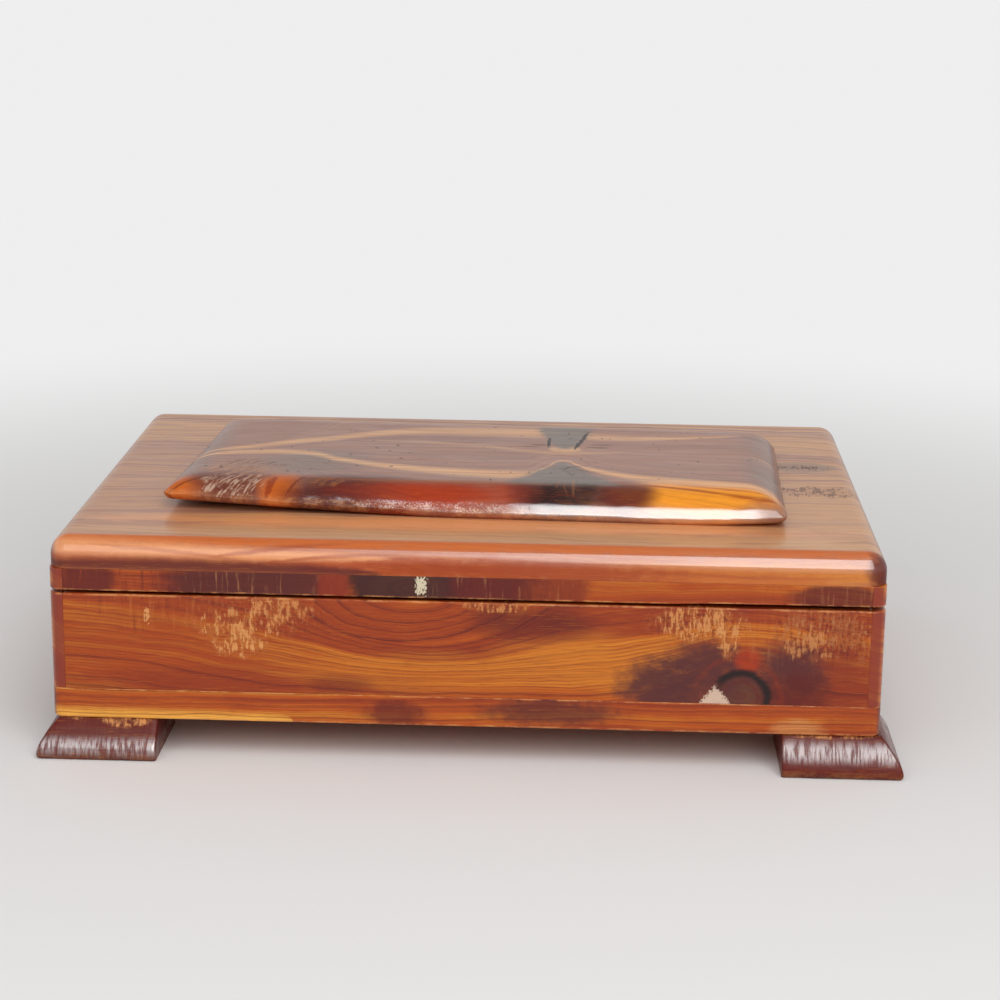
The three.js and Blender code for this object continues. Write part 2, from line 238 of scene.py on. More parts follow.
# a shader socket that takes part in sums
class Wire:
    def __init__(self, graph, socket):
        self.graph = graph
        self.socket = socket

    def __add__(self, other):
        return self.graph.math("ADD", self, other)

    def __radd__(self, other):
        return self.graph.math("ADD", other, self)

    def __sub__(self, other):
        return self.graph.math("SUBTRACT", self, other)

    def __rsub__(self, other):
        return self.graph.math("SUBTRACT", other, self)

    def __mul__(self, other):
        return self.graph.math("MULTIPLY", self, other)

    def __rmul__(self, other):
        return self.graph.math("MULTIPLY", other, self)

    def __truediv__(self, other):
        return self.graph.math("DIVIDE", self, other)

    def __rtruediv__(self, other):
        return self.graph.math("DIVIDE", other, self)


class Graph:
    def __init__(self, name, owner=None):
        self.material = owner or bpy.data.materials.new(name)
        self.material.use_nodes = True
        self.tree = self.material.node_tree
        self.tree.nodes.clear()

    # adds any node: its settings first, then the values or links of its sockets
    def node(self, kind, settings=None, sockets=None, out=0):
        made = self.tree.nodes.new(kind)
        for key, value in (settings or {}).items():
            if key == "stops":
                ramp = made.color_ramp
                while len(ramp.elements) < len(value):
                    ramp.elements.new(1.0)
                for element, (position, colour) in zip(ramp.elements, value):
                    element.position = position
                    element.color = (*colour, 1.0)
            elif key == "points":
                bend = made.mapping.curves[0].points
                while len(bend) < len(value):
                    bend.new(0.5, 0.5)
                for point, (x, y) in zip(bend, value):
                    point.location = (x, y)
                made.mapping.update()
            else:
                setattr(made, key, value)
        for key, value in (sockets or {}).items():
            if isinstance(value, Wire):
                self.tree.links.new(value.socket, made.inputs[key])
            else:
                made.inputs[key].default_value = value
        return Wire(self, made.outputs[out]) if len(made.outputs) else None

    def math(self, operation, first, second=0.0, clamp=False):
        return self.node("ShaderNodeMath", {"operation": operation, "use_clamp": clamp}, {0: first, 1: second})

    def mix(self, factor, first, second, blend="MIX"):
        colours = [(*colour, 1.0) if isinstance(colour, tuple) else colour for colour in (first, second)]
        settings = {"data_type": "RGBA", "blend_type": blend, "clamp_factor": True}
        return self.node("ShaderNodeMix", settings, {0: factor, 6: colours[0], 7: colours[1]}, out=2)

    def smoothStep(self, value, start, stop):
        settings = {"interpolation_type": "SMOOTHSTEP", "clamp": True}
        return self.node("ShaderNodeMapRange", settings, {0: value, 1: start, 2: stop, 3: 0.0, 4: 1.0})

    def vector(self, x, y, z):
        return self.node("ShaderNodeCombineXYZ", None, {0: x, 1: y, 2: z})

    def split(self, vector):
        made = self.node("ShaderNodeSeparateXYZ", None, {0: vector})
        return [Wire(self, made.socket.node.outputs[index]) for index in range(3)]

    def noise(self, vector, scale=1.0, detail=2.0, roughness=0.5):
        sockets = {"Vector": vector, "Scale": scale, "Detail": detail, "Roughness": roughness}
        return self.node("ShaderNodeTexNoise", {"noise_dimensions": "3D"}, sockets)

    def noiseAlong(self, value, detail=3.0, roughness=0.55):
        sockets = {"W": value, "Scale": 1.0, "Detail": detail, "Roughness": roughness}
        return self.node("ShaderNodeTexNoise", {"noise_dimensions": "1D"}, sockets)

    # a smooth line through (value, result) points, level beyond both ends
    def line(self, value, points):
        first, last = points[0][0], points[-1][0]
        low = min(result for at, result in points)
        high = max(result for at, result in points)
        unit = [((at - first) / (last - first), (result - low) / (high - low)) for at, result in points]
        share = self.math("DIVIDE", value - first, last - first, clamp=True)
        return self.node("ShaderNodeFloatCurve", {"points": unit}, {"Value": share}) * (high - low) + low

    def ramp(self, value, stops):
        return self.node("ShaderNodeValToRGB", {"stops": stops}, {0: value})


# cedar's colours, as linear red, green and blue. The mauve, dusk, sand, dun, ash and peach tones are paler or greyer
# than the wood: they hold painted sheen, the look that the varnish's sheen and reflections give the tops.
cedar = {
    "amber": (0.64, 0.20, 0.018),
    "orange": (0.50, 0.092, 0.008),
    "rust": (0.37, 0.055, 0.008),
    "scarlet": (0.40, 0.038, 0.008),
    "red": (0.25, 0.028, 0.010),
    "maroon": (0.115, 0.013, 0.010),
    "purple": (0.060, 0.015, 0.017),
    "smoky": (0.095, 0.024, 0.024),
    "bark": (0.105, 0.032, 0.022),
    "tan": (0.44, 0.18, 0.07),
    "clay": (0.36, 0.11, 0.035),
    "dunWithSheen": (0.27, 0.10, 0.055),
    "cream": (0.84, 0.43, 0.18),
    "black": (0.014, 0.008, 0.009),
    "raw": (0.52, 0.24, 0.12),
    "scuffed": (0.72, 0.31, 0.10),
    "filler": (0.72, 0.62, 0.44),
    "mauveWithSheen": (0.41, 0.190, 0.125),
    "duskWithSheen": (0.295, 0.145, 0.105),
    "gold": (0.95, 0.34, 0.022),
    "honey": (0.66, 0.34, 0.15),
    "peachWithSheen": (0.86, 0.35, 0.14),
    "ashWithSheen": (0.165, 0.125, 0.105),
    "flame": (0.66, 0.135, 0.008),
    "yellow": (0.98, 0.47, 0.07),
    "blush": (0.70, 0.50, 0.38),
    "burnt": (0.50, 0.15, 0.030),
    "sandWithSheen": (0.50, 0.235, 0.115),
}


# Noises over the wood: cycles per mm along, across and into the board, a
# shift, the detail and its roughness.
woodNoises = {
    "slow": ((0.010, 0.026, 0.026), 0.0, 1.0, 0.5),
    "medium": ((0.05, 0.12, 0.12), 0.0, 2.0, 0.5),
    "fibre": ((0.13, 3.4, 3.4), 0.0, 3.0, 0.65),
    "fleck": ((0.45, 7.0, 7.0), 0.0, 2.0, 0.5),
    "cloud": ((0.04, 0.09, 0.09), 4.0, 3.0, 0.5),
    "ragged": ((0.20, 0.30, 0.30), 7.0, 4.0, 0.65),
    "crumb": ((0.9, 0.9, 0.9), 0.0, 3.0, 0.7),
    "grit": ((1.7, 1.2, 1.7), 2.0, 3.0, 0.75),
    "silk": ((0.03, 1.1, 1.1), 0.0, 3.0, 0.5),
    "stroke": ((1.05, 0.26, 0.26), 3.0, 3.0, 0.6),
    "broad": ((0.30, 0.24, 0.24), 5.0, 4.0, 0.7),
    "upright": ((0.75, 0.07, 0.07), 0.0, 3.0, 0.7),
    "speck": ((0.42, 0.20, 0.42), 0.0, 1.0, 0.5),
    "ripple": ((0.06, 0.18, 0.18), 0.0, 2.0, 0.5),
}


def woodNoise(graph, kind, point, seed=0.0):
    scales, shift, detail, roughness = woodNoises[kind]
    x, y, z = [part * scale for part, scale in zip(point, scales)]
    if shift + seed:
        z = z + (shift + seed)
    return graph.noise(graph.vector(x, y, z), detail=detail, roughness=roughness)


# A rounded patch on the face of a board: 1 inside, 0 outside, with a ragged
# rim. The spot is (along, across, half length, half width).
def patch(graph, face, spot, ragged, raggedness, soft):
    along, across = face
    centreAlong, centreAcross, halfAlong, halfAcross = spot
    alongShare = (along - centreAlong) / halfAlong
    acrossShare = (across - centreAcross) / halfAcross
    distance = alongShare * alongShare + acrossShare * acrossShare
    return graph.smoothStep(distance + (ragged - 0.5) * (raggedness * 4), 1.0 + soft, 1.0 - soft)


# The same with straight sides: a lozenge.
def lozenge(graph, face, spot, ragged):
    along, across = face
    centreAlong, centreAcross, halfAlong, halfAcross = spot
    alongShare = graph.math("ABSOLUTE", (along - centreAlong) / halfAlong)
    acrossShare = graph.math("ABSOLUTE", (across - centreAcross) / halfAcross)
    return graph.smoothStep(alongShare + acrossShare + (ragged - 0.5) * 1.2, 1.05, 0.92)


# The figure of a board as a height field over its face: the distance across
# the grain, or the share of the way from one guide line to another, warped
# slowly and pushed aside around each knot as a stream is around a post, with
# round rings inside it. Its contours are the growth rings.
def figureHeight(graph, point, look):
    along, across, depth = point
    slow = woodNoise(graph, "slow", point, look["seed"])
    medium = woodNoise(graph, "medium", point, look["seed"])
    height = across
    if "guides" in look:
        low, high = [graph.line(along, points) for points in look["guides"]]
        height = (across - (low + high) * 0.5) / (high - low) * look["guideSpread"]
    height = height + depth * look["slope"] + (slow - 0.5) * look["warp"] + (medium - 0.5) * look["wobble"]
    height = height + along * look["tilt"]
    for knotAlong, knotAcross, radius, stretch in look["flow"]:
        alongShare = (along - knotAlong) / stretch
        aside = across - knotAcross
        squared = alongShare * alongShare + aside * aside
        height = height - aside * (radius * radius) / graph.math("MAXIMUM", squared, radius * radius)
        depthInKnot = graph.math("MAXIMUM", radius - graph.math("SQRT", squared), 0.0)
        height = height - depthInKnot * look["knotSlope"]
    return height


# What follows the height field: late wood, the dark line that ends a ring,
# finer lines between, how strong the lines are, and broad bands of colour.
def ringLines(graph, height, look):
    seed = look["seed"]
    pace = graph.noiseAlong(height * 0.11 + seed, detail=1.0)
    turn = graph.math("FRACT", height / look["ringWidth"] + pace * 3.0)
    lateWood = graph.math("POWER", turn, 4.0) * graph.smoothStep(turn, 1.0, 0.93)
    fineTurn = graph.math("FRACT", height / (look["ringWidth"] * 0.37) + pace * 2.0)
    fineLine = graph.smoothStep(fineTurn, 0.45, 0.95) * graph.smoothStep(fineTurn, 1.0, 0.96)
    strength = graph.noiseAlong(height * 0.31 + (seed + 9.0), detail=1.0)
    bands = graph.noiseAlong(height * look["bandPace"] + (seed + 31.0), detail=3.0, roughness=0.6)
    return lateWood, fineLine, strength, bands


# A cup on the face of a board, round a knot that was sawn through: the region
# beyond a curve that opens across the grain, upwards, or downwards where the
# steepness is negative. The curve is a power of the distance aside, and the
# distance to it is taken across the curve, so that its sides are as soft.
def cup(graph, above, aside, steepness, power, ragged):
    reach = graph.math("POWER", graph.math("ABSOLUTE", aside), power) * abs(steepness)
    outward = above if steepness > 0 else above * -1
    steep = reach * power / graph.math("MAXIMUM", graph.math("ABSOLUTE", aside), 1.0) + 1
    return graph.smoothStep((outward - reach) / steep + (ragged - 0.5) * 6.0, -1.6, 1.8)


# A ring round a knot, of a width, strongest at its upper right
def knotRing(graph, face, spot, width, ragged):
    along, across = face
    centreAlong, centreAcross, radius, stretch = spot
    alongShare = (along - centreAlong) / stretch
    aside = across - centreAcross
    reach = graph.math("SQRT", alongShare * alongShare + aside * aside) + (ragged - 0.5) * 3.6
    away = graph.math("ABSOLUTE", reach - radius)
    oneSided = graph.smoothStep(alongShare + aside * 1.4, -0.9 * radius, 0.5 * radius) * 0.8 + 0.2
    return graph.smoothStep(away, width * 1.3, width * 0.2) * oneSided


# A vein along a board: 1 on a guide line, falling to 0 at the line's half
# width. Each point is (along, across, half width), and a vein narrower than a
# hair fades away.
def vein(graph, face, points, wander):
    along, across = face
    centre = graph.line(along, [(x, y) for x, y, width in points])
    width = graph.line(along, [(x, width) for x, y, width in points])
    away = graph.math("ABSOLUTE", across - centre + wander)
    return graph.smoothStep(away / width, 1.3, 0.15) * graph.smoothStep(width, 0.15, 0.9)


# 1 on the flat behind the bevel, and 1 on the nose in front of it, whose
# gloss is broken up short of a point
def bevelMasks(graph, face, grit, ragged, look):
    along, across = face
    square = across - along * math.tan(math.radians(look["askew"]))
    onFlat, onNose = 1.0, 0.0
    if "bevelFrom" in look:
        onFlat = graph.smoothStep(square, look["bevelFrom"] - 2.0, look["bevelFrom"] + 2.0)
    if "noseFrom" in look:
        brokenFrom, brokenTo, spread = look["noseBroken"]
        whole = graph.smoothStep(along, brokenFrom, brokenTo)
        spark = graph.smoothStep(grit * 0.5 + ragged * 0.5, 0.47, 0.60) * spread
        onNose = graph.smoothStep(square, look["noseFrom"] + 0.6, look["noseFrom"] - 0.6)
        onNose = onNose * (whole + (1 - whole) * spark)
    return onFlat, onNose


# lays a cedar colour over another where the mask says so
def tint(graph, colour, mask, tone):
    return graph.mix(mask, colour, cedar[tone])


# each entry is (spot, tone, strength)
def tintPatches(graph, colour, face, entries, ragged, raggedness, soft, side=1.0):
    for spot, tone, strength in entries:
        mask = patch(graph, face, spot, ragged, raggedness, soft) * (strength * side)
        colour = tint(graph, colour, mask, tone)
    return colour


# each entry is (points, tone, strength)
def tintVeins(graph, colour, face, entries, wander, side):
    for points, tone, strength in entries:
        colour = tint(graph, colour, vein(graph, face, points, wander) * (strength * side), tone)
    return colour


# What a board has unless its own look says otherwise; lengths in mm. A spot is
# (along, across, half length, half width).
plainBoard = {
    "wobble": 2.4,  # small wander of the rings
    "tilt": 0.0,  # rise of the rings along the board
    "knotSlope": 0.8,  # rise of the rings inside a knot
    "bandPace": 0.10,
    "ringDepth": 0.95,
    "fineDepth": 0.45,
    "fibreDepth": 0.55,
    "endDepth": 0.6,
    "endTone": "maroon",
    "poreDepth": 0.4,
    "askew": 0.0,  # degrees
    "scuffSlant": 0.0,
    "scuffPace": 1.0,
    "haze": 0.55,
    "hazeTone": "tan",
    "wear": 0.7,
    "varnish": 1.0,
    "bevelVarnish": 1.0,
    "strokeBares": 0.85,  # share of the varnish that is gone in strokes and pits
    "roughness": 0.32,
    "gloss": 0.16,  # roughness of the varnish
    "shine": 1.5,  # refractive index of the varnish
    "specular": 0.12,
    "ripple": 1.2,
    "bumpStrength": 0.6,
    "bumpDistance": 0.00035,  # m
}
for paintedOn in ("flow", "zones", "veins", "ringZones", "patches", "rimPatches", "halos", "knotRings", "cups",
                  "strokes", "lozenges", "chips", "scuffs", "mottle", "chatter", "edgeZones", "edgeVeins", "dull"):
    plainBoard[paintedOn] = []


# Varnished cedar
def cedarMaterial(name, look):
    look = {**plainBoard, **look}
    graph = Graph(name)
    place = graph.node("ShaderNodeTexCoord", out="Object")
    axes = {letter: part * (1 / mm) for letter, part in zip("xyz", graph.split(place))}
    point = [axes[letter] for letter in look["axes"]]
    along, across, depth = point
    face, edge = (along, across), (along, depth)
    height = figureHeight(graph, point, look)
    lateWood, fineLine, ringStrength, bands = ringLines(graph, height, look)
    fibre, fleck, crumb, grit = [woodNoise(graph, kind, point) for kind in ("fibre", "fleck", "crumb", "grit")]
    cloud = woodNoise(graph, "cloud", point, look["seed"]) * 0.8 + fibre * 0.2
    ragged = woodNoise(graph, "ragged", point) * 0.7 + fibre * 0.3
    onFlat, onNose = bevelMasks(graph, face, grit, ragged, look)
    above = below = 1.0  # the saw cut
    if "sawnAt" in look:
        above = graph.smoothStep(across, look["sawnAt"] - 0.1, look["sawnAt"] + 0.1)
        below = 1 - above

    # the wood's bands, zones and veins; on the tops of the lid and panel they carry painted sheen as well
    colour = graph.ramp(bands * 0.7 + cloud * 0.3, look["bands"])
    colour = tintPatches(graph, colour, face, look["zones"], cloud, 0.7, 0.9)
    if look["veins"]:
        silk = graph.smoothStep(woodNoise(graph, "silk", point), 0.36, 0.58) * 0.5 + 0.5
        wander = (cloud - 0.5) * look["veinWander"] + (fibre - 0.5) * 1.6
        colour = tintVeins(graph, colour, face, look["veins"], wander, silk)
    if "edgeFrom" in look:
        onEdge = graph.smoothStep(across, look["edgeFrom"] + 0.6, look["edgeFrom"] - 0.6)
        colour = tintPatches(graph, colour, edge, look["edgeZones"], ragged, 0.8, 0.8, onEdge)
        colour = tintVeins(graph, colour, edge, look["edgeVeins"], (ragged - 0.5) * 1.6, onEdge)

    # rings and fibres
    ringed = graph.smoothStep(ringStrength, 0.40, 0.60) * 0.75 + 0.25
    for spot, strength in look["ringZones"]:
        ringed = ringed + patch(graph, face, spot, cloud, 0.4, 0.9) * strength
    fineLine = fineLine * (graph.smoothStep(cloud, 0.40, 0.60) * 0.85 + 0.25)
    colour = tint(graph, colour, lateWood * ringed * look["ringDepth"], "maroon")
    colour = tint(graph, colour, fineLine * look["fineDepth"], "red")
    colour = tint(graph, colour, graph.smoothStep(fibre, 0.52, 0.78) * look["fibreDepth"], "maroon")
    colour = tint(graph, colour, graph.smoothStep(fibre, 0.46, 0.24) * 0.35, "amber")
    rough = graph.smoothStep(cloud, 0.3, 0.7) * 0.06 + look["roughness"]
    relief = fibre * 0.10 + lateWood * 0.12 + fleck * 0.06

    # knots
    colour = tintPatches(graph, colour, face, look["patches"], ragged, 0.35, 0.35, below)
    colour = tintPatches(graph, colour, face, look["rimPatches"], ragged, 0.35, 0.35, above)
    colour = tintPatches(graph, colour, face, look["halos"], ragged, 0.8, 0.95, below)
    for spot, width, tone, strength in look["knotRings"]:
        colour = tint(graph, colour, knotRing(graph, face, spot, width, ragged) * (strength * below), tone)
    for centre, bottom, steepness, power, tone, strength in look["cups"]:
        mask = cup(graph, across - bottom, along - centre, steepness, power, ragged) * (strength * onFlat)
        colour = tint(graph, colour, mask, tone)

    # cracks and scratches, then chips
    bare = 0.0
    for spot, slant, tone, strength in look["strokes"]:
        leaning = along - (across - spot[1]) * slant + (ragged - 0.5) * 2.6
        mask = patch(graph, (leaning, across + (cloud - 0.5) * 2.0), spot, crumb, 0.6, 0.35) * strength
        bare = graph.math("MAXIMUM", mask, bare)
        colour = tint(graph, colour, mask, tone)
        relief = relief - mask * 0.5
    for spot, tone, strength in look["lozenges"]:
        mask = lozenge(graph, face, spot, grit) * strength
        chipped = graph.mix(graph.smoothStep(grit, 0.60, 0.70), cedar[tone], cedar["tan"])
        colour = graph.mix(mask, colour, chipped)
        relief = relief - mask * (grit * 1.5)
    for spot, tone, strength in look["chips"]:
        mask = patch(graph, face, spot, grit, 2.2, 0.2) * strength
        chipped = graph.mix(graph.smoothStep(grit, 0.56, 0.66), cedar[tone], cedar["tan"])
        colour = graph.mix(mask, colour, chipped)
        relief = relief - mask * 0.6
    colour = tint(graph, colour, endGrainMask(graph, look["axes"][0]) * look["endDepth"], look["endTone"])

    # scuffs: where the saw and old knocks tore the varnish, a ragged haze with
    # flecks in short strokes across the grain, leaning where the look says so
    leaning = (along - across * look["scuffSlant"]) * look["scuffPace"]
    stroke, broad = [woodNoise(graph, kind, (leaning, across, depth)) for kind in ("stroke", "broad")]
    flecks = stroke * 0.55 + broad * 0.45
    for spot, tone, strength in look["scuffs"]:
        zone = patch(graph, face, spot, ragged, 0.6, 0.9) * below
        torn = graph.smoothStep(zone, 0.0, 0.5) * strength
        haze = graph.smoothStep(broad + zone * 0.12, 0.48, 0.66) * torn * look["haze"]
        mask = graph.smoothStep(flecks + zone * 0.12 - fibre * 0.06, 0.565, 0.640) * torn
        colour = tint(graph, colour, haze, look["hazeTone"])
        colour = tint(graph, colour, mask, tone)
        rough = rough + mask * 0.22
        relief = relief + mask * 0.4

    # mottle: bruised varnish, in small pale and dark crumbs drawn a little upright
    weave = stroke * 0.5 + crumb * 0.5
    for spot, tone, strength in look["mottle"]:
        zone = patch(graph, face, spot, ragged, 0.6, 0.8) * (strength * below)
        colour = tint(graph, colour, graph.smoothStep(weave, 0.49, 0.41) * zone, "maroon")
        colour = tint(graph, colour, graph.smoothStep(weave, 0.53, 0.60) * zone, tone)

    # chatter: thin upright marks that the plane and the saw left
    upright = woodNoise(graph, "upright", point) if look["chatter"] else None
    for spot, tone, strength in look["chatter"]:
        side = above if spot[1] > look["sawnAt"] else below
        zone = patch(graph, face, spot, ragged, 0.5, 0.9) * (strength * side)
        colour = tint(graph, colour, graph.smoothStep(upright, 0.44, 0.34) * zone, "maroon")
        colour = tint(graph, colour, graph.smoothStep(upright, 0.55, 0.70) * zone, tone)

    # pits, worn edges and pores
    if "pits" in look:
        speck = woodNoise(graph, "speck", point)
        pitted = graph.smoothStep(speck, 0.70, 0.73) * graph.smoothStep(crumb, 0.40, 0.52) * look["pits"] * onFlat
        colour = tint(graph, colour, pitted, "black")
        relief = relief - pitted * 0.5
        bare = graph.math("MAXIMUM", pitted, bare)
    worn = graph.node("ShaderNodeAttribute", {"attribute_name": "wear"}, out="Fac")
    worn = worn * graph.smoothStep(ragged + (fleck - 0.5) * 0.4, 0.42, 0.62) * look["wear"]
    colour = tint(graph, colour, worn, "scuffed")
    colour = tint(graph, colour, graph.smoothStep(fleck, 0.67, 0.74) * look["poreDepth"], "black")

    # the varnish, and the bare wood inside
    varnish = look["varnish"]
    if "bevelFrom" in look:
        bevelCoat = look["bevelVarnish"]
        varnish = onFlat * (varnish - bevelCoat) + onNose * (1 - bevelCoat) + bevelCoat
    if "inside" in look:
        inside = insideMask(graph, axes, look)
        rawTone = graph.mix(fibre * 0.5 + lateWood * 0.5, cedar["raw"], colour)
        colour = graph.mix(inside * 0.85, colour, rawTone)
        rough = rough + inside * 0.3
        varnish = (1 - inside) * varnish
    if "coatBand" in look:
        rasp = raspMarks(graph, axes)
        band = vein(graph, edge, look["coatBand"], (cloud - 0.5) * 1.5)
        varnish = band * (graph.smoothStep(rasp, 0.38, 0.58) * 0.85 + 0.15) + 0.03
        relief = relief + rasp * look["raspDepth"]
    if "coatLevels" in look:
        thinBelow, fullAbove, least = look["coatLevels"]
        varnish = varnish * (graph.smoothStep(depth, thinBelow, fullAbove) * (1 - least) + least)
    for spot, strength in look["dull"]:
        varnish = varnish * (1 - patch(graph, face, spot, ragged, 0.4, 0.8) * strength)
    if look["strokes"]:
        varnish = varnish * (1 - bare * look["strokeBares"])

    relief = relief + woodNoise(graph, "ripple", point) * look["ripple"]
    bump = graph.node("ShaderNodeBump", None, {
        "Strength": look["bumpStrength"], "Distance": look["bumpDistance"], "Height": relief})
    shader = graph.node("ShaderNodeBsdfPrincipled", None, {
        "Base Color": colour, "Roughness": rough, "Coat Weight": varnish, "Normal": bump,
        "Coat Roughness": look["gloss"], "Coat IOR": look["shine"], "Specular IOR Level": look["specular"]})
    graph.node("ShaderNodeOutputMaterial", None, {"Surface": shader})
    return graph.material


# Upright rasp marks on the four sides of a block: noise over the distance
# along each side, stretched up and down
def raspMarks(graph, axes):
    facing = graph.split(graph.node("ShaderNodeTexCoord", out="Normal"))
    outX, outY = [graph.math("ABSOLUTE", part) for part in facing[:2]]
    onEnd = graph.math("GREATER_THAN", outX, outY)
    sideways = axes["y"] * onEnd + axes["x"] * (1 - onEnd)
    return graph.noise(graph.vector(sideways * 0.95, axes["z"] * 0.16, onEnd * 5.0), detail=3.0, roughness=0.6)


# 1 where the face looks along the grain, so that it is end grain
def endGrainMask(graph, letter):
    facing = graph.split(graph.node("ShaderNodeTexCoord", out="Normal"))["xyz".index(letter)]
    return graph.smoothStep(graph.math("ABSOLUTE", facing), 0.55, 0.9)


# 1 on the faces that line the inside of the closed box, which were never
# varnished: within the walls' inner faces, and above or below a height
def insideMask(graph, axes, look):
    rule, level = look["inside"]
    halfDepth = -boxInMm("front_wall")[1][1] + 0.3
    halfLength = -boxInMm("left_wall")[1][0] + 0.3
    mask = graph.smoothStep(graph.math("ABSOLUTE", axes["x"]), halfLength, halfLength - 0.1)
    mask = mask * graph.smoothStep(graph.math("ABSOLUTE", axes["y"]), halfDepth, halfDepth - 0.1)
    if rule == "above":
        mask = mask * graph.smoothStep(axes["z"], level - 0.1, level)
    if rule == "below":
        mask = mask * graph.smoothStep(axes["z"], level + 0.1, level)
    return mask


# the box's own pieces

frontLook = {
    "axes": "xzy",
    "seed": 2.0,
    "slope": 0.5,
    "warp": 10.0,
    "tilt": 0.035,
    "ringWidth": 2.4,
    "bands": [(0.30, cedar["red"]), (0.40, cedar["rust"]), (0.49, cedar["orange"]), (0.56, cedar["amber"]),
              (0.63, cedar["orange"]), (0.74, cedar["rust"])],
    "zones": [((-95.0, 36.0, 46.0, 18.0), "rust", 0.65), ((-70.0, 24.0, 50.0, 5.0), "red", 0.6),
              ((-18.0, 50.0, 34.0, 9.0), "rust", 0.65), ((40.0, 33.0, 28.0, 9.0), "amber", 0.8),
              ((-10.0, 29.0, 44.0, 6.0), "amber", 0.5), ((20.0, 46.0, 17.0, 5.5), "maroon", 0.8),
              ((112.0, 28.0, 16.0, 14.0), "red", 0.9), ((-38.0, 24.5, 9.0, 3.0), "maroon", 0.5)],
    "ringZones": [((-17.0, 44.0, 40.0, 16.0), 0.35)],
    "flow": [(-16.0, 56.0, 18.0, 2.0), (84.0, 24.0, 11.0, 1.4)],
    "sawnAt": 52.35,
    "fineDepth": 0.55,
    "halos": [((60.0, 26.0, 12.0, 9.0), "smoky", 0.95), ((74.0, 34.0, 13.0, 7.0), "smoky", 0.95),
              ((98.0, 32.0, 11.0, 9.0), "smoky", 0.95), ((101.0, 24.0, 10.0, 8.0), "maroon", 0.8),
              ((72.0, 26.0, 12.0, 7.0), "smoky", 0.75), ((86.0, 35.5, 3.6, 3.4), "scarlet", 0.9)],
    "patches": [((84.0, 23.5, 7.6, 7.8), "bark", 0.9)],
    "varnish": 0.35,
    "rimPatches": [((-17.0, 57.5, 19.0, 9.0), "black", 0.85), ((-17.0, 57.5, 15.0, 8.0), "purple", 0.5),
                   ((-66.0, 56.0, 27.0, 12.0), "maroon", 0.7), ((-66.0, 56.0, 22.0, 12.0), "purple", 0.6),
                   ((-120.0, 56.0, 13.0, 12.0), "maroon", 0.85), ((-40.0, 56.0, 4.5, 12.0), "red", 0.8),
                   ((16.0, 56.0, 21.0, 12.0), "maroon", 0.95),
                   ((112.0, 55.6, 15.0, 4.0), "maroon", 0.85), ((60.0, 56.0, 40.0, 12.0), "rust", 0.5)],
    "knotRings": [((84.0, 23.5, 8.0, 1.0), 1.5, "black", 0.95), ((84.0, 23.5, 5.2, 1.0), 0.7, "maroon", 0.4),
                  ((83.0, 24.0, 12.0, 1.1), 1.0, "red", 0.35)],
    "lozenges": [((76.3, 21.5, 4.8, 6.0), "blush", 0.95)],
    "chips": [((-13.4, 57.0, 1.6, 3.0), "filler", 0.95), ((-97.0, 45.5, 0.8, 2.2), "scuffed", 0.9)],
    "scuffs": [((-68.0, 42.5, 14.0, 4.6), "scuffed", 0.85), ((-69.0, 36.5, 8.0, 4.0), "scuffed", 0.9),
               ((-58.0, 48.0, 11.0, 4.0), "scuffed", 0.6), ((71.0, 47.0, 12.0, 5.0), "scuffed", 0.75),
               ((80.0, 42.5, 3.5, 6.0), "scuffed", 0.7), ((108.0, 46.0, 15.0, 5.5), "clay", 0.45),
               ((104.0, 41.5, 8.0, 5.5), "scuffed", 0.45), ((9.0, 50.5, 9.0, 1.6), "scuffed", 0.6)],
    "haze": 0.6,
    "hazeTone": "burnt",
    "chatter": [((-70.0, 56.0, 26.0, 12.0), "tan", 0.55), ((14.0, 56.0, 22.0, 12.0), "tan", 0.45),
                ((-112.0, 56.0, 18.0, 12.0), "rust", 0.5), ((108.0, 56.0, 18.0, 12.0), "tan", 0.35),
                ((-96.0, 48.0, 18.0, 7.0), "burnt", 0.45), ((104.0, 42.0, 18.0, 9.0), "tan", 0.35)],
    "mottle": [((70.0, 47.0, 14.0, 6.0), "tan", 0.55), ((112.0, 45.0, 17.0, 8.0), "tan", 0.6),
               ((-64.0, 46.0, 20.0, 7.0), "tan", 0.3)],
    "inside": ("all", 0.0),
}

sideBands = [(0.30, cedar["red"]), (0.42, cedar["rust"]), (0.52, cedar["orange"]), (0.60, cedar["amber"]),
             (0.72, cedar["rust"])]

sideLook = {
    "varnish": 0.7,
    "axes": "yzx",
    "seed": 6.0,
    "endDepth": 0.85,
    "endTone": "red",
    "slope": 0.5,
    "warp": 12.0,
    "ringWidth": 2.2,
    "bands": sideBands,
    "zones": [((-40.0, 30.0, 34.0, 8.0), "red", 0.5), ((50.0, 50.0, 30.0, 7.0), "amber", 0.4)],
    "flow": [(30.0, 40.0, 9.0, 1.7)],
    "patches": [((30.0, 40.0, 9.0, 6.0), "maroon", 0.7), ((30.0, 40.0, 5.0, 4.4), "bark", 0.9),
                ((14.0, 36.0, 9.0, 5.0), "purple", 0.6)],
    "knotRings": [((30.0, 40.0, 4.8, 1.1), 0.9, "black", 0.85)],
    "scuffs": [((-34.0, 44.0, 14.0, 8.0), "scuffed", 0.6), ((66.0, 30.0, 12.0, 7.0), "scuffed", 0.5)],
    "inside": ("all", 0.0),
}

backLook = {
    "varnish": 0.7,
    "axes": "xzy",
    "seed": 11.0,
    "slope": -0.5,
    "warp": 14.0,
    "ringWidth": 2.3,
    "bands": sideBands,
    "zones": [((60.0, 28.0, 40.0, 9.0), "red", 0.5)],
    "flow": [(-30.0, 33.0, 10.0, 1.9)],
    "patches": [((-30.0, 33.0, 9.0, 6.5), "purple", 0.8), ((-30.0, 33.0, 5.0, 4.6), "bark", 0.9)],
    "knotRings": [((-30.0, 33.0, 5.0, 1.0), 0.9, "black", 0.85)],
    "scuffs": [((20.0, 42.0, 16.0, 7.0), "scuffed", 0.5)],
    "inside": ("all", 0.0),
}

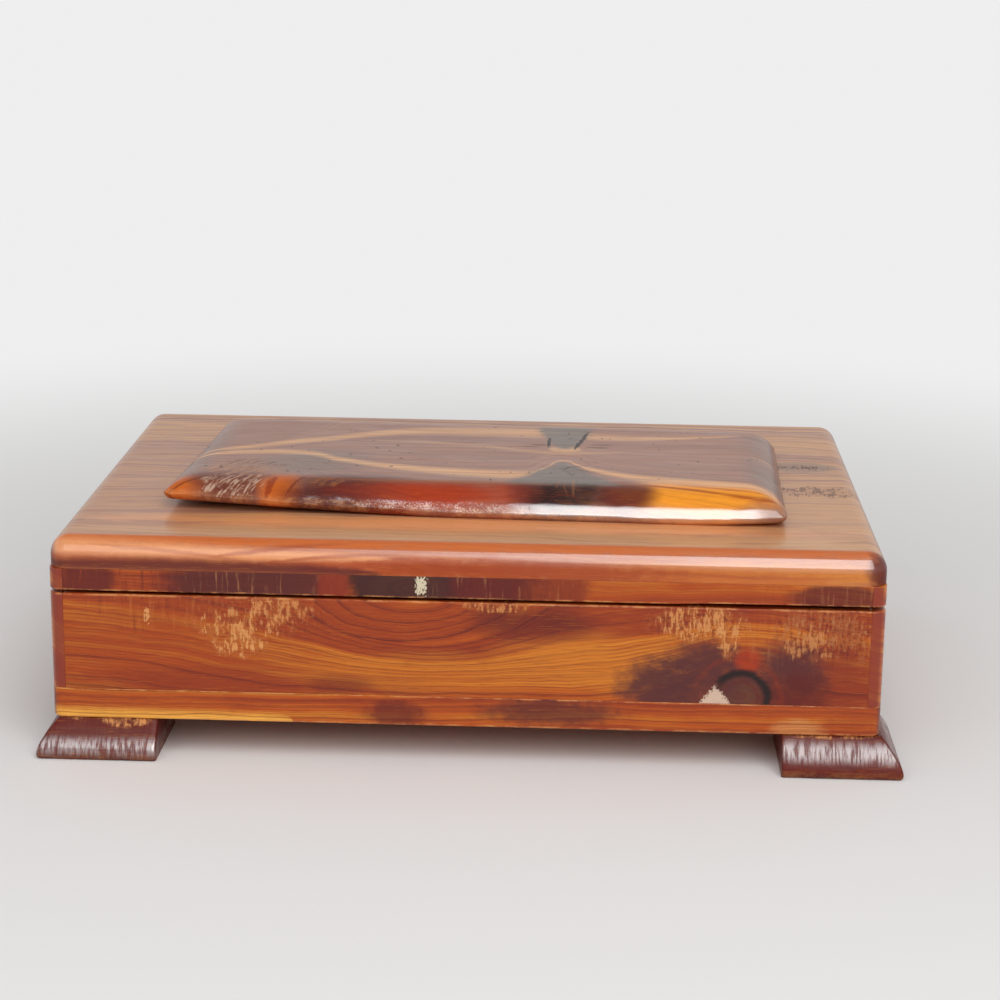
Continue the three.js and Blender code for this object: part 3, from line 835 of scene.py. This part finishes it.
bottomLook = {
    "varnish": 0.4,
    "axes": "xyz",
    "seed": 17.0,
    "slope": 1.3,
    "warp": 16.0,
    "ringWidth": 2.6,
    "bands": [(0.30, cedar["red"]), (0.42, cedar["rust"]), (0.50, cedar["orange"]), (0.58, cedar["amber"]),
              (0.70, cedar["orange"])],
    "edgeFrom": -86.0,
    "edgeVeins": [([(-127.0, 12.6, 3.2), (-80.0, 12.4, 3.0), (-58.0, 12.2, 2.6), (-52.5, 12.0, 0.1)], "yellow", 1.0)],
    "edgeZones": [((-100.0, 18.0, 26.0, 4.0), "orange", 0.6), ((-21.0, 16.0, 9.0, 4.0), "maroon", 0.8),
                  ((26.0, 17.5, 20.0, 4.0), "purple", 0.75), ((102.0, 14.0, 8.0, 3.0), "scuffed", 0.6),
                  ((118.0, 18.0, 10.0, 5.0), "rust", 0.6)],
    "inside": ("above", 21.2),
}

lidLook = {
    "axes": "xyz",
    "seed": 23.0,
    "slope": 0.9,
    "warp": 20.0,
    "wobble": 4.6,
    "ringWidth": 8.0,
    "bandPace": 0.19,
    # The top's bands are paler and greyer than the wood: painted sheen, the varnish's sheen seen low across the top,
    # laid over the wood's own tones.
    "bands": [(0.28, cedar["duskWithSheen"]), (0.38, cedar["mauveWithSheen"]), (0.46, cedar["sandWithSheen"]), (0.53, cedar["honey"]),
              (0.60, cedar["mauveWithSheen"]), (0.70, cedar["duskWithSheen"])],
    "ringDepth": 0.05,
    "fineDepth": 0.12,
    "fibreDepth": 0.30,
    "varnish": 0.20,
    "bevelFrom": -85.4,
    "coatLevels": (63.0, 65.0, 0.25),
    "shine": 2.2,
    # These zones on the top carry painted sheen like the bands; the peach strip just in front of the panel is painted
    # sheen, kept light where the panel would shade the top.
    "zones": [((-108.0, -30.0, 32.0, 80.0), "mauveWithSheen", 0.4), ((122.0, -56.0, 32.0, 46.0), "honey", 0.45),
              ((0.0, -64.0, 100.0, 8.0), "peachWithSheen", 0.95), ((20.0, -76.0, 140.0, 6.0), "honey", 0.7)],
    "veins": [([(-127.0, 71.0, 2.0), (-108.0, 68.0, 3.6), (-92.0, 66.0, 1.2), (-80.0, 66.0, 0.1)], "honey", 0.85),
              ([(92.0, 55.0, 0.1), (100.0, 54.5, 2.8), (127.0, 53.0, 3.8)], "honey", 0.9)],
    "veinWander": 1.5,
    # a grey patch round the dark marks: dark wood with painted sheen on it
    "patches": [((109.0, 21.0, 13.0, 7.0), "ashWithSheen", 0.5)],
    "edgeFrom": -83.0,
    # The first, peach vein along the upper roundover at the left is partly painted highlight, where a dull patch
    # takes the varnish's own highlight away.
    "edgeVeins": [([(-127.0, 66.6, 2.6), (-100.0, 66.2, 2.6), (-60.0, 65.2, 2.2), (-20.0, 65.0, 0.1)], "peachWithSheen", 0.9),
                  ([(-127.0, 61.0, 1.4), (-105.0, 61.4, 2.6), (-75.0, 61.3, 2.6), (-50.0, 61.0, 2.2),
                    (-24.0, 60.0, 0.1)], "maroon", 0.9),
                  ([(-78.0, 64.0, 0.1), (-62.0, 66.4, 0.8), (-46.0, 68.0, 0.6), (-28.0, 68.8, 0.1)], "rust", 0.7),
                  ([(-62.0, 62.6, 0.1), (-46.0, 64.6, 0.8), (-24.0, 66.2, 0.6), (6.0, 66.8, 0.1)], "rust", 0.7),
                  ([(-120.0, 67.4, 0.1), (-102.0, 66.6, 0.6), (-84.0, 65.2, 0.7), (-66.0, 63.0, 0.1)], "rust", 0.5),
                  ([(30.0, 61.0, 0.1), (60.0, 62.4, 0.7), (90.0, 61.6, 0.7), (118.0, 62.8, 0.1)], "rust", 0.5)],
    "edgeZones": [((0.0, 64.0, 300.0, 9.0), "orange", 0.7), ((0.0, 69.0, 300.0, 1.5), "flame", 0.8),
                  ((-20.0, 62.6, 44.0, 2.6), "scarlet", 0.6), ((88.0, 62.6, 50.0, 3.6), "amber", 0.9),
                  ((66.0, 61.2, 42.0, 3.0), "orange", 0.6), ((18.0, 61.6, 44.0, 3.4), "rust", 0.9),
                  # the maroon at the right end of the roundover is partly painted shade: that corner is darkened
                  # where it catches no reflection
                  ((126.5, 64.0, 5.5, 7.0), "maroon", 0.95)],
    "scuffs": [((112.0, -13.0, 16.0, 8.0), "black", 0.55), ((109.0, 20.0, 11.0, 4.0), "black", 0.6)],
    "dull": [((-75.0, -92.0, 85.0, 9.0), 0.55), ((24.0, -92.0, 46.0, 9.0), 0.3), ((128.0, -92.0, 6.0, 9.0), 0.8)],
    "inside": ("below", 59.6),
    "gloss": 0.13,
}

panelLook = {
    "axes": "xyz",
    "seed": 29.0,
    "slope": 0.8,
    "warp": 5.0,
    "guides": ([(-100.0, -10.5), (-79.5, -12.0), (-62.8, -11.5), (-44.9, -21.0), (-24.6, -29.0), (1.6, -33.0),
                (16.0, -31.0), (28.1, -16.0), (38.0, -27.0), (56.2, -36.5), (87.6, -44.5), (100.0, -47.0)],
               [(-100.0, -6.0), (-79.5, -8.0), (-60.9, 2.0), (-35.3, 19.0), (-18.4, 23.6), (3.8, 24.5),
                (40.0, 20.0), (54.0, 18.5), (100.0, 24.0)]),
    "guideSpread": 50.0,
    "ringWidth": 7.0,
    "bandPace": 0.09,
    # As on the lid, the top's bands are the wood with painted sheen, paler and greyer than the wood is.
    "bands": [(0.30, cedar["duskWithSheen"]), (0.42, cedar["mauveWithSheen"]), (0.52, cedar["duskWithSheen"]), (0.60, cedar["mauveWithSheen"]),
              (0.72, cedar["dunWithSheen"])],
    "ringDepth": 0.3,
    "fineDepth": 0.25,
    "fibreDepth": 0.3,
    "askew": -1.75,
    "varnish": 0.17,
    "bevelVarnish": 0.04,
    "bevelFrom": -45.5,
    "noseFrom": -54.4,
    "noseBroken": (6.0, 24.0, 0.55),
    "shine": 3.0,
    # The grey ash zones over both end bevels and at the left are painted reflection and sheen, the grey the varnish
    # shows at a low angle; the mauve zone is painted sheen like the bands.
    "zones": [((97.0, -8.0, 10.0, 42.0), "ashWithSheen", 0.6), ((-94.0, -6.0, 9.0, 36.0), "ashWithSheen", 0.45),
              ((-51.0, -24.0, 17.0, 15.0), "ashWithSheen", 0.65), ((60.0, 0.0, 45.0, 22.0), "mauveWithSheen", 0.5),
              ((-95.0, -54.0, 10.0, 9.0), "flame", 0.95), ((-77.0, -48.0, 12.0, 13.0), "maroon", 0.8),
              ((-60.5, -50.0, 6.5, 9.0), "flame", 0.92), ((-38.0, -51.0, 20.0, 10.5), "maroon", 0.9),
              ((-40.0, -52.0, 18.0, 8.0), "purple", 0.8),
              ((-8.0, -51.0, 33.0, 5.0), "scarlet", 0.98), ((74.0, -50.0, 27.0, 9.0), "gold", 0.98),
              ((47.0, -51.0, 9.5, 8.0), "maroon", 0.92), ((20.0, -50.5, 9.0, 6.0), "maroon", 0.8),
              ((29.5, -46.0, 11.0, 7.0), "bark", 0.95), ((29.5, -52.0, 11.0, 5.0), "black", 0.9),
              ((24.3, -47.0, 2.4, 7.0), "black", 0.85), ((36.2, -47.0, 2.8, 7.0), "black", 0.85)],
    "veins": [([(-100.0, -12.0, 0.1), (-84.0, -8.0, 2.4), (-76.0, -4.0, 3.6), (-60.9, 4.8, 4.2), (-52.0, 9.0, 4.4),
                (-35.3, 18.5, 4.8), (-18.4, 23.6, 5.8), (-1.1, 24.0, 7.2), (17.0, 24.0, 7.8), (30.0, 24.0, 7.0),
                (40.3, 19.4, 5.4), (54.0, 18.5, 3.6), (70.0, 21.0, 2.4), (92.0, 26.0, 0.1)], "cream", 0.92),
              ([(-100.0, -16.0, 0.1), (-86.0, -14.5, 2.4), (-76.0, -12.0, 3.4), (-62.8, -11.0, 3.6),
                (-44.9, -20.0, 3.8), (-24.6, -28.8, 4.4), (-11.4, -32.5, 5.4), (1.6, -34.5, 6.2), (14.0, -35.5, 5.0),
                (20.5, -29.0, 2.0), (24.5, -21.0, 1.4), (28.1, -15.9, 1.3), (32.0, -20.0, 1.4), (37.0, -26.5, 2.4),
                (46.6, -33.5, 4.2), (56.2, -38.0, 5.0), (72.0, -41.5, 5.0), (87.6, -44.5, 4.0), (96.0, -48.0, 2.5)],
               "cream", 0.95),
              ([(-46.0, 9.0, 0.1), (-20.0, 7.0, 1.6), (0.0, 3.0, 2.2), (16.0, -2.5, 2.8), (27.0, -4.5, 3.2),
                (38.0, -4.0, 2.0), (52.0, -2.0, 0.1)], "honey", 0.6),
              ([(-58.0, -40.0, 0.1), (-40.0, -45.0, 1.4), (-20.0, -45.4, 1.6), (20.0, -46.0, 1.4),
                (26.0, -47.0, 0.1)], "clay", 0.6),
              ([(40.0, -41.0, 0.1), (50.0, -44.6, 0.9), (71.6, -49.5, 1.0), (90.2, -54.2, 0.9), (96.0, -55.0, 0.1)],
               "rust", 0.8),
              ([(56.0, -42.0, 0.1), (66.0, -44.5, 0.7), (80.0, -48.0, 0.8), (95.0, -52.0, 0.1)], "rust", 0.6)],
    "veinWander": 2.6,
    # The cups round the sawn knot are grey: dark knot wood with painted sheen on it.
    "cups": [(28.3, 1.2, 0.34, 2.0, "ashWithSheen", 0.92), (28.1, -17.0, -1.25, 1.1, "ashWithSheen", 0.88)],
    "patches": [((28.3, 1.0, 5.2, 4.6), "honey", 0.9)],
    "strokes": [((23.0, 10.0, 0.6, 7.0), 0.0, "black", 0.95), ((34.0, 13.5, 0.7, 13.0), 0.18, "black", 0.95),
                ((20.0, 6.5, 3.4, 0.9), -0.8, "black", 0.55), ((17.0, 3.6, 3.0, 0.8), 0.6, "black", 0.5),
                ((39.5, 4.0, 4.0, 0.9), 0.0, "black", 0.55), ((41.0, 8.0, 4.0, 0.8), -0.4, "black", 0.45),
                ((31.5, -24.0, 0.5, 3.0), 1.6, "black", 0.85), ((34.0, -28.0, 0.4, 2.6), -1.1, "black", 0.75),
                ((29.0, -27.0, 0.35, 2.4), 0.5, "black", 0.6), ((30.5, -33.0, 0.4, 3.0), -0.3, "black", 0.5),
                ((26.8, -45.0, 0.6, 4.0), 0.08, "clay", 0.25), ((28.9, -47.5, 0.35, 5.0), -0.15, "clay", 0.22),
                ((31.8, -46.0, 0.5, 6.5), 0.04, "tan", 0.25), ((-64.0, -49.0, 1.2, 5.0), 0.2, "red", 0.7),
                ((-56.0, -48.0, 0.7, 5.0), 0.5, "maroon", 0.5), ((-91.0, -50.0, 0.7, 5.0), 1.4, "maroon", 0.55),
                ((95.3, -3.0, 4.6, 0.5), 0.0, "honey", 0.7)],
    "scuffSlant": 0.55,
    "scuffPace": 1.35,
    "haze": 0.35,
    "scuffs": [((-76.0, -47.5, 10.0, 7.0), "blush", 0.6), ((-74.0, -35.0, 12.0, 9.0), "honey", 0.4),
               ((-72.0, -28.0, 12.0, 7.0), "bark", 0.5), ((-46.0, -47.0, 5.0, 3.0), "clay", 0.55)],
    "dull": [((-74.0, -54.0, 34.0, 14.0), 0.8), ((98.0, -58.0, 8.0, 6.0), 0.6)],
    "gloss": 0.11,
    "ripple": 1.6,
    "pits": 0.8,
}

footLook = {
    "axes": "xyz",
    "seed": 37.0,
    "slope": 1.2,
    "warp": 6.0,
    "ringWidth": 1.8,
    "bands": [(0.30, cedar["purple"]), (0.50, cedar["maroon"]), (0.64, cedar["bark"]), (0.74, cedar["red"])],
    "wear": 0.3,
    "gloss": 0.16,
    "shine": 3.3,
    "raspDepth": 1.4,
    "coatBand": [(-140.0, 4.0, 2.9), (-85.0, 4.2, 3.0), (80.0, 7.6, 3.0), (140.0, 7.4, 2.8)],
    "dull": [((112.0, -90.0, 24.0, 30.0), 0.4)],
    "scuffs": [((-104.0, -88.6, 7.0, 1.8), "scuffed", 0.8), ((-118.0, -88.2, 6.0, 0.8), "scuffed", 0.5),
               ((112.0, -88.2, 13.0, 0.9), "scuffed", 0.6)],
}


# a board beside the saw cut, where its edge is worn; its other edge is sharp
def makeSawnBoard(node, body, corners, radii, material):
    seam, joint = boardShape["seamEase"], boardShape["jointEase"]
    if body == "lid":
        piece = boardPiece(node, corners, radii, seam, joint, 1.0, 0.0, "low")
    else:
        piece = boardPiece(node, corners, radii, joint, seam, 0.0, 1.0, "high")
    rideAndReplace(piece, body, node, material)


def makeFrontBoards(material):
    for node, body in (("front_wall", "box"), ("lid_rim_front", "lid")):
        makeSawnBoard(node, body, rectangle(*boxInMm(node)), [0.0] * 4, material)


# a side board's outline: its ends are cut back on the inside, which leaves the
# tongues that close the corners
def sideOutline(node):
    low, high = boxInMm(node)
    frontLow, frontHigh = boxInMm("front_wall")
    sign = 1 if high[0] > 0 else -1
    outer, inner = (high[0], low[0]) if sign > 0 else (low[0], high[0])
    first, last = (high[1], low[1]) if sign > 0 else (low[1], high[1])
    tongue = sign * frontHigh[0]
    thick = sign * (frontHigh[1] - frontLow[1])
    return [(outer, first), (tongue, first), (tongue, first - thick), (inner, first - thick),
            (inner, last + thick), (tongue, last + thick), (tongue, last), (outer, last)]


def makeSideBoards(material):
    radii = [boardShape["sideCorner"], 0, 0, 0, 0, 0, 0, boardShape["sideCorner"]]
    for side in ("left", "right"):
        for node, body in ((side + "_wall", "box"), ("lid_rim_" + side, "lid")):
            makeSawnBoard(node, body, sideOutline(node), radii, material)


def makeBottom(material):
    corners = rectangle(*boxInMm("bottom_board"))
    radii = [boardShape["sideCorner"]] * 4
    piece = boardPiece("bottom_board", corners, radii, *boardShape["bottomEase"], 1.0, 1.0)
    rideAndReplace(piece, "box", "bottom_board", material)


def makeLid(material):
    corners = rectangle(*boxInMm("lid_board"))
    radii = [boardShape["lidCorner"]] * 4
    piece = boardPiece("lid_board", corners, radii, *boardShape["lidEase"], 0.0, 0.0)
    rideAndReplace(piece, "lid", "lid_board", material)


panelShape = {
    "length": 196.5,
    "depth": 101.6,
    "middle": (1.9, -5.8),
    "turn": -1.75,  # degrees: it is glued on slightly askew
    "endBevel": 14.0,
    "longBevel": 14.0,
    "noseHeight": 2.1,
    "facetRise": 1.9,
    "facetSlope": 37.0,  # degrees off upright
    "undercut": 1.1,
    "noseWaist": 0.3,
    "noseTop": 0.06,
    "cornerRadius": 2.2,
    "spacing": 1.6,
    "lifts": ((-1, 3.6, 95.0), (1, 1.6, 28.0)),  # side, height and reach of each lifted front corner
    "liftPower": 1.3,
    "bevelSteps": 22,
    "carving": 0.28,
}


# The raised panel. Rings run from the glued face out to the undercut, up to the
# nose, over a narrow facet and along a parabola to the flat top: z and the
# inset share are (1-t)^2 start + 2t(1-t) bend + t^2 end. The front corners are
# lifted off the lid, and hand work leaves the bevels slightly uneven.
def makePanel(material):
    shape = panelShape
    low, high = boxInMm("raised_panel")
    half = np.array([shape["length"], shape["depth"]]) / 2
    thick = high[2] - low[2]
    radius = shape["cornerRadius"]
    sides = planRing(rectangle(-half, half), [radius] * 4, 0.0, shape["spacing"])
    inwards = planRing(rectangle(-half, half), [radius] * 4, 0.5, shape["spacing"]) - sides
    core = half - radius
    lifted = np.zeros(len(sides))
    for side, height, reach in shape["lifts"]:
        away = np.linalg.norm(sides - half * [side, -1], axis=1) / reach
        lifted += height * np.maximum(0, 1 - away) ** shape["liftPower"]
    angle = math.radians(shape["turn"])
    turn = np.array([[math.cos(angle), -math.sin(angle)], [math.sin(angle), math.cos(angle)]])

    # the outline, moved in by one distance at the ends and another at the long sides
    def movedIn(atEnds, atSides):
        shrink = (core - [atEnds, atSides]) / core
        return np.clip(sides, -core, core) * shrink + (sides - np.clip(sides, -core, core))

    def ringOf(flat, z, liftShare, carved):
        ring = np.column_stack([flat, z + lifted * liftShare])
        dents = smoothNoise(ring, 11.0, 11) * 0.6 + smoothNoise(ring, 4.0, 12) * 0.4
        dents = dents * shape["carving"] * carved
        ring[:, 2] += dents
        ring[:, :2] += inwards * (np.abs(dents) * 2)[:, None]
        ring[:, :2] = ring[:, :2] @ turn.T + shape["middle"]
        ring[:, 2] = np.clip(ring[:, 2] + low[2], low[2], high[2])
        return ring

    undercut, waist, top = [shape[key] for key in ("undercut", "noseWaist", "noseTop")]
    rings = [ringOf(movedIn(shape["endBevel"], shape["longBevel"]), 0.0, 0.0, 0.0),
             ringOf(movedIn(undercut, undercut), 0.0, 1.0, 0.0),
             ringOf(movedIn(waist, waist), shape["noseHeight"] * 0.5, 1.0, 0.7),
             ringOf(movedIn(top, top), shape["noseHeight"] - 0.3, 1.0, 0.9)]
    wear = [0.0, 0.3, 0.6, 0.6]
    facetTop = shape["noseHeight"] + shape["facetRise"]
    slope = math.tan(math.radians(shape["facetSlope"])) / shape["longBevel"]
    start = np.array([shape["facetRise"] * slope, facetTop])
    bend = np.array([(thick - shape["noseHeight"]) * slope, thick])
    nose = np.array([0.0, shape["noseHeight"]])
    profile = [nose, nose * 0.7 + start * 0.3, nose * 0.3 + start * 0.7]
    for t in np.linspace(0, 1, shape["bevelSteps"]):
        profile.append(start * (1 - t) ** 2 + bend * 2 * t * (1 - t) + np.array([1.0, thick]) * t ** 2)
    for inset, z in profile:
        flat = movedIn(shape["endBevel"] * inset, shape["longBevel"] * inset)
        rings.append(ringOf(flat, z, (1 - inset) ** 2, 1 - inset))
        wear.append(0.5 if inset < 0.1 else 0.0)
    piece = meshFromRings("raised_panel_dressed", rings, wear)
    rideAndReplace(piece, "lid", "raised_panel", material)


footShape = {
    "overhang": 5.8,
    "noseHeight": 1.4,
    "sweepPower": 1.6,
    "topInset": 0.8,
    "soleInset": 0.7,
    "edgeRadius": 0.8,
    "steps": 16,
    "rasped": 0.22,
    "raspedFrom": 8.0,  # from the block's inner corner
    "raspFade": 8,
    "soleRise": 0.08,
    "soleRim": 0.6,
    "noseWaist": 0.15,
}


# One foot: a square block whose two outer sides slope out from the body's edge
# and round into a nose near the table: the reach is the overhang less a power
# of the share of the height.
def makeFoot(node, material):
    shape = footShape
    low, high = boxInMm(node)
    signs = np.where((low + high)[:2] > 0, 1, -1)
    corner = np.where(signs > 0, high[:2], low[:2]) - signs * shape["overhang"]
    inner = shape["overhang"] - (high - low)[0]
    height = high[2] - low[2]
    outline = rectangle([inner, inner], [shape["overhang"]] * 2)
    sides = planRing(outline, [shape["edgeRadius"]] * 4, 0.0, 2.0, 3)

    def ringOf(reach, z, carved):
        flat = inner + (sides - inner) * (reach - inner) / (shape["overhang"] - inner)
        ring = np.column_stack([flat * signs + corner, np.full(len(flat), z)])
        dents = smoothNoise(ring, 4.5, 21) * 0.6 + smoothNoise(ring * [1, 1, 0.25], 1.3, 22) * 0.4
        smoothPart = inner + shape["raspedFrom"]
        outside = np.clip(np.maximum(flat - smoothPart, 0) / (reach - smoothPart), 0, 1) ** shape["raspFade"]
        ring[:, :2] -= signs * outside * (np.abs(dents) * shape["rasped"] * carved)[:, None]
        return ring[::-1] if signs[0] * signs[1] < 0 else ring

    sole = shape["overhang"] - shape["soleInset"]
    rings = [ringOf(sole - shape["soleRim"], low[2], 0.0),
             ringOf(sole, low[2] + shape["soleRise"], 1.0),
             ringOf(shape["overhang"] - shape["noseWaist"], low[2] + shape["noseHeight"] * 0.5, 1.0)]
    wear = [0.0, 0.6, 0.8]
    for step in range(shape["steps"] + 1):
        share = step / shape["steps"]
        reach = shape["overhang"] - (shape["overhang"] + shape["topInset"]) * share ** shape["sweepPower"]
        z = low[2] + shape["noseHeight"] + (height - shape["noseHeight"]) * share
        rings.append(ringOf(reach, z, 1 - share ** 4))
        wear.append(0.5 if step < 2 else 0.0)
    piece = meshFromRings(node + "_dressed", rings, wear)
    rideAndReplace(piece, "box", node, material)


# metal


def metalMaterial(name, bright, dull, metallic):
    graph = Graph(name)
    place = graph.node("ShaderNodeTexCoord", out="Object")
    cloud = graph.noise(place, scale=160.0, detail=4.0, roughness=0.6)
    fine = graph.noise(place, scale=900.0, detail=3.0)
    tarnish = graph.smoothStep(cloud + (fine - 0.5) * 0.4, 0.42, 0.68)
    colour = graph.mix(tarnish, bright, dull)
    rough = tarnish * 0.28 + 0.24
    bump = graph.node("ShaderNodeBump", None, {"Strength": 0.3, "Distance": 0.0001, "Height": fine + cloud})
    shader = graph.node("ShaderNodeBsdfPrincipled", None, {
        "Base Color": colour, "Roughness": rough, "Metallic": metallic, "Normal": bump})
    graph.node("ShaderNodeOutputMaterial", None, {"Surface": shader})
    return graph.material


def dressNode(node, material):
    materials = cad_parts[node].data.materials
    materials.clear()
    materials.append(material)


frontMaterial = cedarMaterial("cedarFront", frontLook)
sideMaterial = cedarMaterial("cedarSides", sideLook)
backMaterial = cedarMaterial("cedarBack", backLook)
bottomMaterial = cedarMaterial("cedarBottom", bottomLook)
lidMaterial = cedarMaterial("cedarLid", lidLook)
panelMaterial = cedarMaterial("cedarPanel", panelLook)
footMaterial = cedarMaterial("cedarFeet", footLook)
brassMaterial = metalMaterial("agedBrass", (0.62, 0.42, 0.15), (0.20, 0.12, 0.05), 1.0)
steelMaterial = metalMaterial("wireSteel", (0.45, 0.43, 0.40), (0.16, 0.11, 0.08), 0.9)
print("materials made")

makeFrontBoards(frontMaterial)
for node in ("back_wall", "lid_rim_back"):
    dressNode(node, backMaterial)
makeSideBoards(sideMaterial)
makeBottom(bottomMaterial)
makeLid(lidMaterial)
makePanel(panelMaterial)
for corner in ("front_left", "front_right", "back_left", "back_right"):
    makeFoot(corner + "_foot", footMaterial)
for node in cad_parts:
    if "hinge" in node:
        dressNode(node, brassMaterial)
    if "brad" in node:
        dressNode(node, steelMaterial)
print("pieces made")


# floor and light

roomSetup = {
    "floorRadius": 14.0,  # m
    "floorSides": 96,
    "floorColour": (0.86, 0.855, 0.85),
    "floorFadesFrom": 0.18,
    "floorFadesTo": 0.62,
    "backgroundLevel": 0.86,
    "skyStrength": 0.42,
    "paleUpTo": 0.30,  # sine of the height where the pale backdrop gives way to the sky
    "darkFrom": 0.62,
}

# place in m, radiance, width and height in m
lamps = {
    "softbox": ((0.34, -0.98, 1.02), 2.65, (0.95, 1.42)),
    "fill": ((-0.44, -1.02, 0.86), 1.25, (0.80, 0.80)),
}


# a rectangular lamp of a given radiance, aimed at the box
def areaLamp(name, place, radiance, size):
    data = bpy.data.lights.new(name, "AREA")
    data.shape = "RECTANGLE"
    data.size, data.size_y = size
    data.energy = radiance * math.pi * size[0] * size[1]
    lamp = bpy.data.objects.new(name, data)
    bpy.context.scene.collection.objects.link(lamp)
    lamp.location = place
    aim = Vector((0.0, 0.0, 0.04)) - Vector(place)
    lamp.rotation_euler = aim.to_track_quat("-Z", "Y").to_euler()


# 1 for what is seen straight on or in a gloss, 0 for the light that falls on things
def seenRays(graph):
    rays = graph.node("ShaderNodeLightPath", out="Is Camera Ray")
    outputs = rays.socket.node.outputs
    glossy = Wire(graph, outputs["Is Glossy Ray"])
    through = Wire(graph, outputs["Is Transmission Ray"])
    return graph.math("MAXIMUM", rays, graph.math("MAXIMUM", glossy, through))


def makeRoom():
    setup = roomSetup
    count = setup["floorSides"]
    angles = np.linspace(0, 2 * math.pi, count + 1)[:-1]
    rim = np.column_stack([np.cos(angles), np.sin(angles), np.zeros(count)]) * setup["floorRadius"]
    mesh = bpy.data.meshes.new("floor")
    mesh.from_pydata(rim.tolist(), [], [list(range(count))])
    floor = bpy.data.objects.new("floor", mesh)
    bpy.context.scene.collection.objects.link(floor)
    graph = Graph("paleFloor")
    paper = graph.node("ShaderNodeBsdfDiffuse", None, {"Color": (*setup["floorColour"], 1.0)})
    pale = graph.node("ShaderNodeEmission", None, {"Strength": setup["backgroundLevel"]})
    place = graph.node("ShaderNodeTexCoord", out="Object")
    away = graph.node("ShaderNodeVectorMath", {"operation": "LENGTH"}, {0: place}, out="Value")
    faded = graph.smoothStep(away, setup["floorFadesFrom"], setup["floorFadesTo"]) * seenRays(graph)
    surface = graph.node("ShaderNodeMixShader", None, {0: faded, 1: paper, 2: pale})
    graph.node("ShaderNodeOutputMaterial", None, {"Surface": surface})
    mesh.materials.append(graph.material)

    world = bpy.data.worlds.new("room")
    world.use_nodes = True
    graph = Graph("sky", world)
    height = graph.split(graph.node("ShaderNodeTexCoord", out="Generated"))[2]
    pale = graph.smoothStep(height, setup["darkFrom"], setup["paleUpTo"]) * seenRays(graph)
    strength = pale * (setup["backgroundLevel"] - setup["skyStrength"]) + setup["skyStrength"]
    sky = graph.node("ShaderNodeBackground", None, {"Color": (1.0, 0.99, 0.98, 1.0), "Strength": strength})
    graph.node("ShaderNodeOutputWorld", None, {"Surface": sky})
    bpy.context.scene.world = world
    for name, (place, radiance, size) in lamps.items():
        areaLamp(name, place, radiance, size)


makeRoom()
bpy.context.scene.view_settings.view_transform = "Standard"
print("room made")
